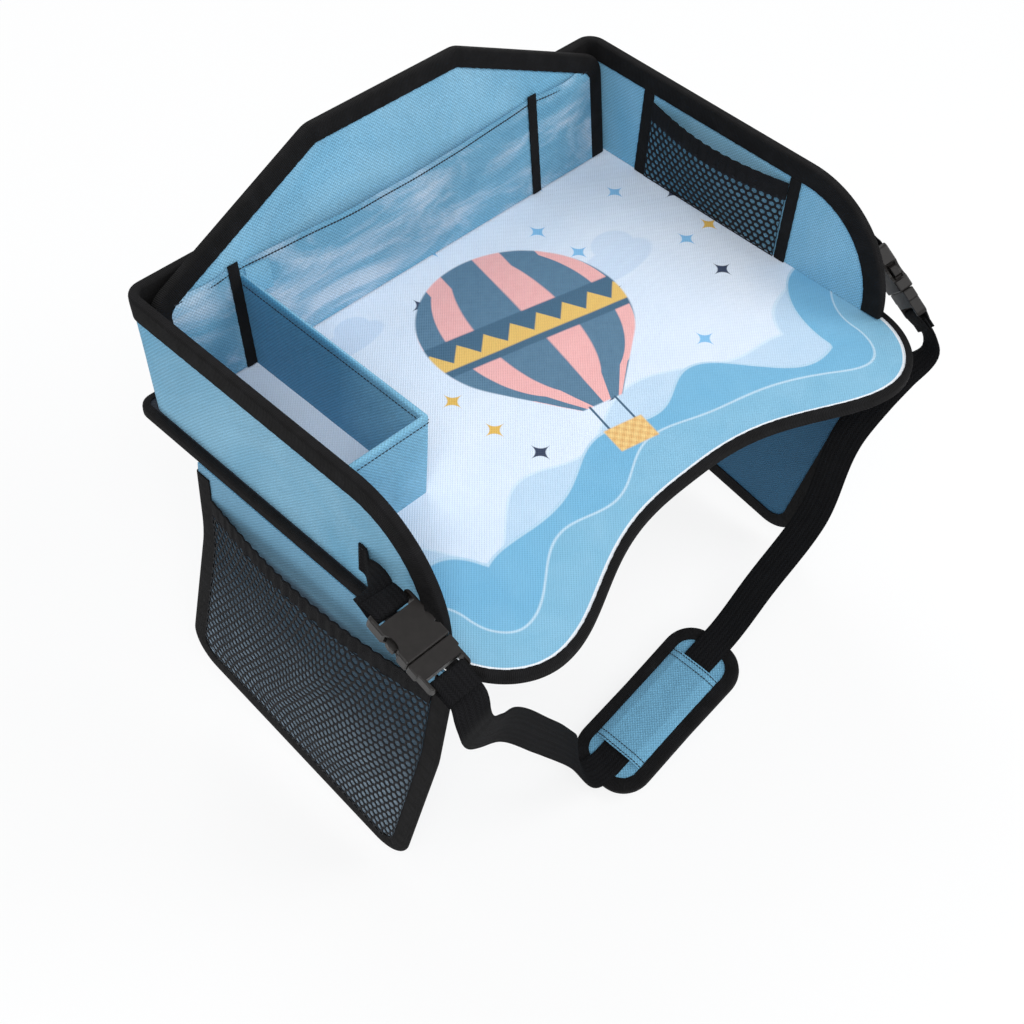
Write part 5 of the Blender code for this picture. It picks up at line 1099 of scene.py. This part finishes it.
across = np.linspace(NET_WIDTH, 0, 161)[None]
up = np.linspace(NET_HEIGHT + 0.0003, NET_HEIGHT + 0.0011 + ELASTIC_WIDTH, 9)[:, None]
grid = in_left_net(across + 0 * up, up + 0 * across, 0.6)
swell = np.sin((up - NET_HEIGHT) / 0.0151 * math.pi) * (1 + np.sin(across / NET_WIDTH * 2 * math.pi * 44))
grid[..., 0] -= 0.00025 * swell
sewn(cloth("left_flap_elastic_hem", grid, ELASTIC_T, elastic), "left_flap", "elastic_tape", "left_flap_elastic")


# --- Right flap: the same panel with a gusseted cloth pocket on its outer face, hemmed across its mouth. ---
# The pocket is cut from a lighter blue cloth than the flap's deep blue, which is painted shade; its gussets fold in
# against the flap.
# The right flap's cloth is a deep blue on both faces, as painted shade.
flap_parts("right", 1, 55, oxford("right_flap_blue_cloth_painted_shade", (0.030, 0.120, 0.220)))

POCKET_MARGIN, POCKET_LEAST, POCKET_DEPTH = 0.006, 0.004, 0.022
POCKET_FOOT = FLAP_REAR_DEPTH - FLAP_TAPE_FACE - POCKET_MARGIN


def pocket_rows(depths):
    """From the flap's front, out over the gusset, along the pocket's face and in again at the back."""
    open_share = np.clip((POCKET_FOOT - depths) / (POCKET_FOOT - POCKET_TOP), 0, 1)[:, None]
    front, rear = (limit[:, None] for limit in flap_span(POCKET_MARGIN, depths))
    out = POCKET_LEAST + (POCKET_DEPTH - POCKET_LEAST) * np.sin(math.pi / 2 * open_share)
    gusset = np.array([0, 0.18, 0.36, 0.5, 0.64, 0.82, 0.94])
    face = np.linspace(0, 1, 33)
    tuck = 0.0010 * np.sin(math.pi * open_share) * np.sin(gusset * math.pi)
    y = np.concatenate([front + tuck, front + 0.0004, front + 0.0018 + (rear - front - 0.0036) * face,
                        rear - 0.0004, (rear - tuck)[:, ::-1]], 1)
    sag = 0.0009 * np.sin(math.pi * face) * ripple(face * 0.2, depths[:, None], 0.06, 71)
    bend = out - 0.0003
    x = np.concatenate([gusset * out, bend, out + np.minimum(sag, 0.0006), bend, (gusset * out)[:, ::-1]], 1)
    return on_flap(1)(y, -depths[:, None] + 0 * y, FLAP_T / 2 + SEAM_GAP + FABRIC_T / 2 + x)


pocket_cloth = oxford("right_pocket_blue_cloth", (0.190, 0.440, 0.630))
hem = POCKET_TOP + 0.012
right_pocket = cloth("right_flap_gusset_pocket", pocket_rows(np.linspace(POCKET_FOOT, hem + SEAM_GAP, 26)), FABRIC_T,
                     pocket_cloth)
sewn(right_pocket, "right_flap", "blue_cloth", "right_flap_pocket")
hem_rows = pocket_rows(np.linspace(hem, POCKET_TOP, 6))
sewn(cloth("right_flap_pocket_hem_fold", hem_rows, FABRIC_T, pocket_cloth), "right_flap", "blue_cloth",
     "right_flap_pocket_hem")
stitched("right_flap_pocket_stitches", [raised(hem_rows, 1, 0.0006)], "right_flap", "blue_cloth", dark_thread)


# --- Side-release buckles: one on each side wall, moulded in black plastic with two sprung prongs. ---
# The model's own socket, plug and prongs show; they get the satin, finely grained skin of moulded plastic.
plastic = Finish("black_moulded_plastic", 0.36, 0.0, 0.24)
scuffs = plastic.cloud(0.006, 6.0, 0.7)
plastic.paint(plastic.mix(scuffs, (0.0055, 0.0048, 0.0045), (0.014, 0.012, 0.0112)))
plastic.paint(scuffs * 0.25 + 0.26, channel="Roughness")
plastic.relief(plastic.cloud(0.0005, 3.0), 0.00004)
coated(plastic.material, *(f"{side}_buckle_{part}" for side in ("left", "right")
                           for part in ("female", "male", "upper_prong", "lower_prong")))


def axes(origin, x_axis, y_axis):
    """Axes with X and Y as given and Z square to both."""
    x_axis = Vector(x_axis).normalized()
    z_axis = x_axis.cross(Vector(y_axis)).normalized()
    return Matrix.Translation(Vector(origin)) @ Matrix((x_axis, z_axis.cross(x_axis), z_axis)).transposed().to_4x4()


def buckle_axes(sign, out, behind, up, pitch_deg, roll_deg):
    """X along the webbing, forward and down; Y across it."""
    roll_rad = math.radians(roll_deg)
    turned = axes((0, 0, 0), (0, -1, 0), (-sign * math.cos(roll_rad), 0, math.sin(roll_rad)))
    origin = Vector((sign * (INNER_HALF + out), BACK_FOOT_Y - behind, BASE_T + up))
    return Matrix.Translation(origin) @ Matrix.Rotation(math.radians(pitch_deg), 4, "X") @ turned


LEFT_BUCKLE = buckle_axes(-1, 0.025, 0.2310, 0.0360, 17, 2)
RIGHT_BUCKLE = buckle_axes(1, 0.025, 0.2295, 0.0330, 34, 61)


# --- Webbing: a tab sewn flat on each wall and looped round its socket's bar, and the waist strap. ---
# The strap runs from plug to plug under the pad's sleeve, and each end folds back round its bar.
WEB_WIDTH, WEB_T, BAR_T, BAR_WIDTH = 0.025, 0.0014, 0.0040, 0.0030
LOOP_R, LOOP_RUN = BAR_T / 2 + WEB_T, 0.016
SOCKET_LENGTH, PLUG_GAP, PLUG_REACH = 0.036, 0.0003, 0.021
MALE_END = SOCKET_LENGTH + PLUG_GAP + PLUG_REACH
AHEAD, ACROSS, OFF = (Vector(axis) for axis in ((1, 0, 0), (0, 1, 0), (0, 0, 1)))


def webbing_cloth():
    """Black nylon webbing: slanting ribs that meet along its middle, with a plain woven edge and a soft shine."""
    made = Finish("black_webbing", 0.85, 0.0, 0.08)
    off = abs(made.v)
    relief = made.wave(made.u + maths("PINGPONG", off, 0.0031) * 0.8, 0.0017) + made.wave(off, 0.0031) * 0.8
    # The colour follows the ribs as painted highlight and shade, over random tone.
    lit = relief * 0.22 + made.cloud(0.010, 5.0) * 0.6
    made.paint(made.mix(lit, (0.0042, 0.0042, 0.0047), (0.0115, 0.0118, 0.0130)))
    made.relief(relief, 0.00016)
    return made.material


webbing = webbing_cloth()


def smooth_run(points, widths, step=0.003):
    """Stations (point, normal, width direction) on a smooth curve through points, its width turned evenly."""
    points = [Vector(point) for point in points]
    aligned = [Vector(widths[0]).normalized()]
    for width in widths[1:]:
        width = Vector(width).normalized()
        aligned.append(width if width.dot(aligned[-1]) >= 0 else -width)
    runs = [ahead - point for point, ahead in zip(points, points[1:])]
    slopes = [(behind.normalized() * ahead.length + ahead.normalized() * behind.length).normalized()
              for behind, ahead in zip(runs[:1] + runs, runs + runs[-1:])]
    places, turns = [], []
    for i, run in enumerate(runs):
        steps = max(math.ceil(run.length / step), 2)
        for k in range(steps):
            t = k / steps
            start = points[i] * (2 * t**3 - 3 * t**2 + 1) + slopes[i] * run.length * (t**3 - 2 * t**2 + t)
            end = points[i + 1] * (3 * t**2 - 2 * t**3) + slopes[i + 1] * run.length * (t**3 - t**2)
            places.append(start + end)
            turns.append(aligned[i].lerp(aligned[i + 1], 3 * t**2 - 2 * t**3))
    places.append(points[-1])
    turns.append(aligned[-1])
    stations = []
    for behind, place, ahead, turn in zip(places[:1] + places, places, places[1:] + places[-1:], turns):
        along = (ahead - behind).normalized()
        width = (turn - along * turn.dot(along)).normalized()
        stations.append((place, width.cross(along), width))
    return stations


def webbing_piece(name, stations):
    """A strip of webbing with rounded selvedges through its stations."""
    half, rim = WEB_WIDTH / 2, WEB_T / 2
    across = np.array([-1, -0.6, -0.2, 0.2, 0.6, 1]) * (half - rim * 0.8)
    selvedge = [(rim * 0.6, half - rim * 0.2), (0, half), (-rim * 0.6, half - rim * 0.2)]
    profile = np.array([(rim, a) for a in across] + selvedge + [(-rim, a) for a in across[::-1]]
                       + [(-up, -a) for up, a in selvedge])
    place, normal, width = (np.array([tuple(station[k]) for station in stations]) for k in range(3))
    rings = place[:, None] + profile[None, :, :1] * normal[:, None] + profile[None, :, 1:] * width[:, None]
    girth = profile[:, 1]
    return swept(name, rings, run_of(place), [*girth, girth[0]], [(0.0, a) for a in girth], webbing, crease_deg=55)


def looped(stations, spread, towards, fold_from):
    """The webbing's way along a line to a bar, round it, and back on the line's other side."""
    way = [(place + normal * gap, normal, width) for (place, normal, width), gap in zip(stations, spread)]
    centre, normal, width = stations[-1]
    for i in range(1, 12):
        turn = math.pi * i / 12
        spoke = normal * math.cos(turn) + towards * math.sin(turn)
        way.append((centre + spoke * spread[-1], spoke, width))
    for (place, normal, width), gap in list(zip(stations, spread))[:fold_from - 1 if fold_from else None:-1]:
        way.append((place - normal * gap, -normal, width))
    return way


for side, sign, place in (("left", -1, LEFT_BUCKLE), ("right", 1, RIGHT_BUCKLE)):
    turned = place.to_3x3()
    start = Vector((sign * (INNER_HALF + WALL_T + SEAM_GAP + WEB_T / 2), BACK_FOOT_Y - 0.187, BASE_T + 0.025))
    end = start + Vector((0, -0.005, 0))
    points = [start, end, end + Vector((sign * 0.0050, -0.009, 0)),
              *(place @ (AHEAD * x) for x in (-2 * BAR_T, -BAR_T, BAR_WIDTH - WEB_T / 2))]
    line = smooth_run(points, [OFF] * 3 + [turned @ ACROSS] * 3, 0.0015)
    gaps = [(point - line[-1][0]).length for point, _, _ in line]
    spread = [LOOP_R * min(max(LOOP_RUN - gap, 0) / (LOOP_RUN - BAR_T), 1) for gap in gaps]
    fold_from = min(i for i, gap in enumerate(gaps) if gap < 2 * BAR_T + BAR_WIDTH)
    tab = webbing_piece(f"{side}_wall_webbing_tab", looped(line, spread, turned @ AHEAD, fold_from))
    sewn(tab, "tray", "webbing", f"{side}_wall_tab")
    near, far, half = -0.0015, -0.0065, 0.0105
    box = [start + Vector((sign * (WEB_T / 2 + 0.0002), y, z))
           for y, z in ((near, -half), (far, -half), (far, half), (near, half), (near, -half))]
    stitched(f"{side}_wall_tab_stitches", [box], "tray", "webbing", black_thread, Pitch=0.0026, Stitch=0.0019)

LEFT_ROUTE = (((-0.2375, -0.1510, 0.0125), (0.97, 0.00, 0.22)), ((-0.2311, -0.1500, -0.0089), (0.93, 0.00, 0.36)),
              ((-0.2124, -0.1430, -0.0358), (0.85, 0.05, 0.50)), ((-0.1906, -0.1350, -0.0605), (0.80, 0.12, 0.58)),
              ((-0.1426, -0.1270, -0.1313), (0.76, 0.20, 0.62)), ((-0.0984, -0.1215, -0.2022), (0.45, 0.50, 0.75)),
              ((-0.0662, -0.1230, -0.2605), (0.05, 0.97, 0.15)))
RIGHT_ROUTE = (((0.1026, -0.1250, -0.1842), (0, 1, 0)), ((0.1421, -0.1310, -0.1335), (0, 1, 0)),
               ((0.1690, -0.1310, -0.0538), (0, 1, 0)), ((0.1850, -0.1340, -0.0358), (0, 1, 0)),
               ((0.2071, -0.1360, -0.0240), (0.10, 0.95, 0)), ((0.2345, -0.1390, -0.0080), (0.50, 0.75, -0.45)))
PAD_TURN = math.radians(19)
PAD = axes((-0.001, -0.123, -0.247), (math.cos(PAD_TURN), 0, math.sin(PAD_TURN)), (0, 1, 0))
STRAP_LIFT = 0.0053
lead = [MALE_END + 0.0035 + 0.0075 * k for k in (0, 1, 1.2)]
way = [*((LEFT_BUCKLE @ (AHEAD * x), LEFT_BUCKLE.to_3x3() @ ACROSS) for x in lead), *LEFT_ROUTE,
       *((PAD @ Vector((x, 0, STRAP_LIFT)), ACROSS) for x in (-0.056, -0.050, 0.010, 0.066, 0.072)), *RIGHT_ROUTE,
       *((RIGHT_BUCKLE @ (AHEAD * x), RIGHT_BUCKLE.to_3x3() @ ACROSS) for x in reversed(lead))]
strap_line = smooth_run(*zip(*way))
strap = webbing_piece("waist_strap", strap_line)
sewn(strap, "tray", "webbing", "strap_webbing")

for side, place, line in (("left", LEFT_BUCKLE, strap_line), ("right", RIGHT_BUCKLE, strap_line[::-1])):
    kept = [station for station in line[:8] if (station[0] - line[0][0]).length < 0.0085]
    turned = place.to_3x3()
    across, normal = turned @ ACROSS, turned @ OFF
    across = across if across.dot(kept[0][2]) > 0 else -across
    normal = normal if normal.dot(kept[0][1]) > 0 else -normal
    bar = [(place @ (AHEAD * x), normal, across) for x in (MALE_END, MALE_END - BAR_WIDTH + WEB_T / 2)]
    spread = [WEB_T + 0.0008] * (len(kept) - 1) + [LOOP_R * 0.8, LOOP_R, LOOP_R]
    fold = webbing_piece(f"{side}_strap_end_fold", looped(kept[::-1] + bar, spread, -(turned @ AHEAD), 0))
    sewn(fold, "tray", "webbing", f"{side}_strap_fold")
route = [tuple(station[0]) for station in strap_line]
length = float(run_of(np.array(route))[-1])
route[::4] + route[-1:]


# --- Shoulder pad: foam between two blue covers, bound in black tape, with a sewn sleeve that slides on the strap. ---
# The cushion is swelled by a short cloth simulation, held at its tape and its cross seams.
PAD_SIZE, PAD_R, PAD_HALF_T, PAD_WAIST, PAD_TAPE_FACE = (0.140, 0.063), 0.023, 0.0025, 0.0012, 0.009


def pad_edge(steps):
    """The pad's plan: round corners, and long sides that draw in a little towards the middle."""
    half = (PAD_SIZE[0] / 2, PAD_SIZE[1] / 2)
    corners = [(x * half[0], y * half[1], PAD_R if x else 0)
               for x, y in ((-1, -1), (0, -1), (1, -1), (1, 1), (0, 1), (-1, 1))]
    line = rounded(corners, steps, True)
    line[:, 1] -= PAD_WAIST * (1 - (line[:, 0] / half[0]) ** 2) * line[:, 1] / half[1]
    return line


def on_pad(x, y, height):
    """Lays a plan on the pad, at heights off its middle."""
    place = np.array(PAD)
    return place[:3, 3] + x[..., None] * place[:3, 0] + y[..., None] * place[:3, 1] + height[..., None] * place[:3, 2]


pad_line = even(pad_edge(12), 0.002, True)
plan, faces = cut(pad_line, 0.0026)
x, y = plan.T
inside = nearest(x, y, pad_line)
rise = np.clip((inside - PAD_TAPE_FACE) / 0.012, 0, 1)
rise = rise * rise * (3 - 2 * rise)
pad_cloth = oxford("pad_blue_cloth", (0.150, 0.365, 0.530))
pad = both_sides("shoulder_pad", plan, faces, on_pad(x, y, PAD_HALF_T + 0.0008 * rise),
                 on_pad(x, y, -PAD_HALF_T - 0.0026 * rise), pad_cloth, plan)
start = np.array([tuple(vertex.co) for vertex in pad.data.vertices])
held = pad.vertex_groups.new(name="seams")
channel = np.minimum(np.abs(x - 0.052), np.abs(x + 0.052)) < 0.0015
fixed = np.tile((inside < PAD_TAPE_FACE + 0.0005) | channel, 2)
held.add([int(i) for i in np.flatnonzero(fixed)], 1.0, "REPLACE")
swell = pad.modifiers.new("swell", "CLOTH")
swell.settings.quality = 6
swell.settings.mass = 0.15
swell.settings.use_pressure = True
swell.settings.uniform_pressure_force = 6
swell.settings.vertex_group_mass = "seams"
swell.settings.effector_weights.gravity = 0
swell.collision_settings.use_collision = False
swell.point_cache.frame_start, swell.point_cache.frame_end = 1, 16
for step in range(1, 17):
    scene.frame_set(step)
swelled = bpy.data.meshes.new_from_object(pad.evaluated_get(bpy.context.evaluated_depsgraph_get()))
end = np.array([tuple(vertex.co) for vertex in swelled.vertices])
pad.modifiers.remove(swell)
scene.frame_set(1)
move = end - start
size = np.linalg.norm(move, axis=1, keepdims=True)
cap = np.repeat([0.0004, 0.0016], len(plan))[:, None]
end = start + move / np.maximum(size, 1e-9) * cap * np.tanh(size / cap)
pad.data.vertices.foreach_set("co", end.astype(np.float32).ravel())
pad.data.update()
sewn(pad, "shoulder_pad", "padded_cloth", "pad_cushion")

line = even(pad_edge(12), 0.0022, True)
outwards = edge_outwards(line, True)
along, across, off = np.array(PAD)[:3, :3].T
pad_tape = folded_tape("shoulder_pad_tape", on_pad(*line.T, 0 * line[:, 0]), np.tile(off, (len(line), 1)),
                       outwards[:, :1] * along + outwards[:, 1:] * across, PAD_HALF_T * 2, PAD_TAPE_FACE, TAPE_T,
                       black_tape, True, seed=9)
sewn(pad_tape, "shoulder_pad", "binding_tape", "pad_binding")

lift = STRAP_LIFT + WEB_T / 2 + 0.0005 + FABRIC_T / 2
seat = PAD_HALF_T + SEAM_GAP * 2 + FABRIC_T / 2
inner, outer = WEB_WIDTH / 2 + 0.0008, PAD_SIZE[1] / 2 - PAD_TAPE_FACE - PAD_WAIST - SEAM_GAP
x, y = np.linspace(-0.045, 0.045, 61)[:, None], np.linspace(-outer, outer, 61)[None]
crown = np.cos(y / outer * math.pi / 2)
height = seat + (lift - seat) * np.clip((outer - np.abs(y)) / (outer - inner), 0, 1) ** 0.7 + SEAM_GAP * crown
wrinkle = 0.00025 * ripple(x, y, 0.018, 91) * crown
grid = on_pad(x + 0 * y, y + 0 * x, height + np.maximum(wrinkle, -0.0001))
sewn(cloth("shoulder_pad_sleeve", grid, FABRIC_T, pad_cloth), "shoulder_pad", "blue_cloth", "pad_sleeve")
rows = [raised(grid, row, -0.0006)[1:-1] for row in (1, 4, -5, -2)]
stitched("shoulder_pad_stitches", rows, "shoulder_pad", "blue_cloth", dark_thread, Pitch=0.0026, Thread=0.00046)
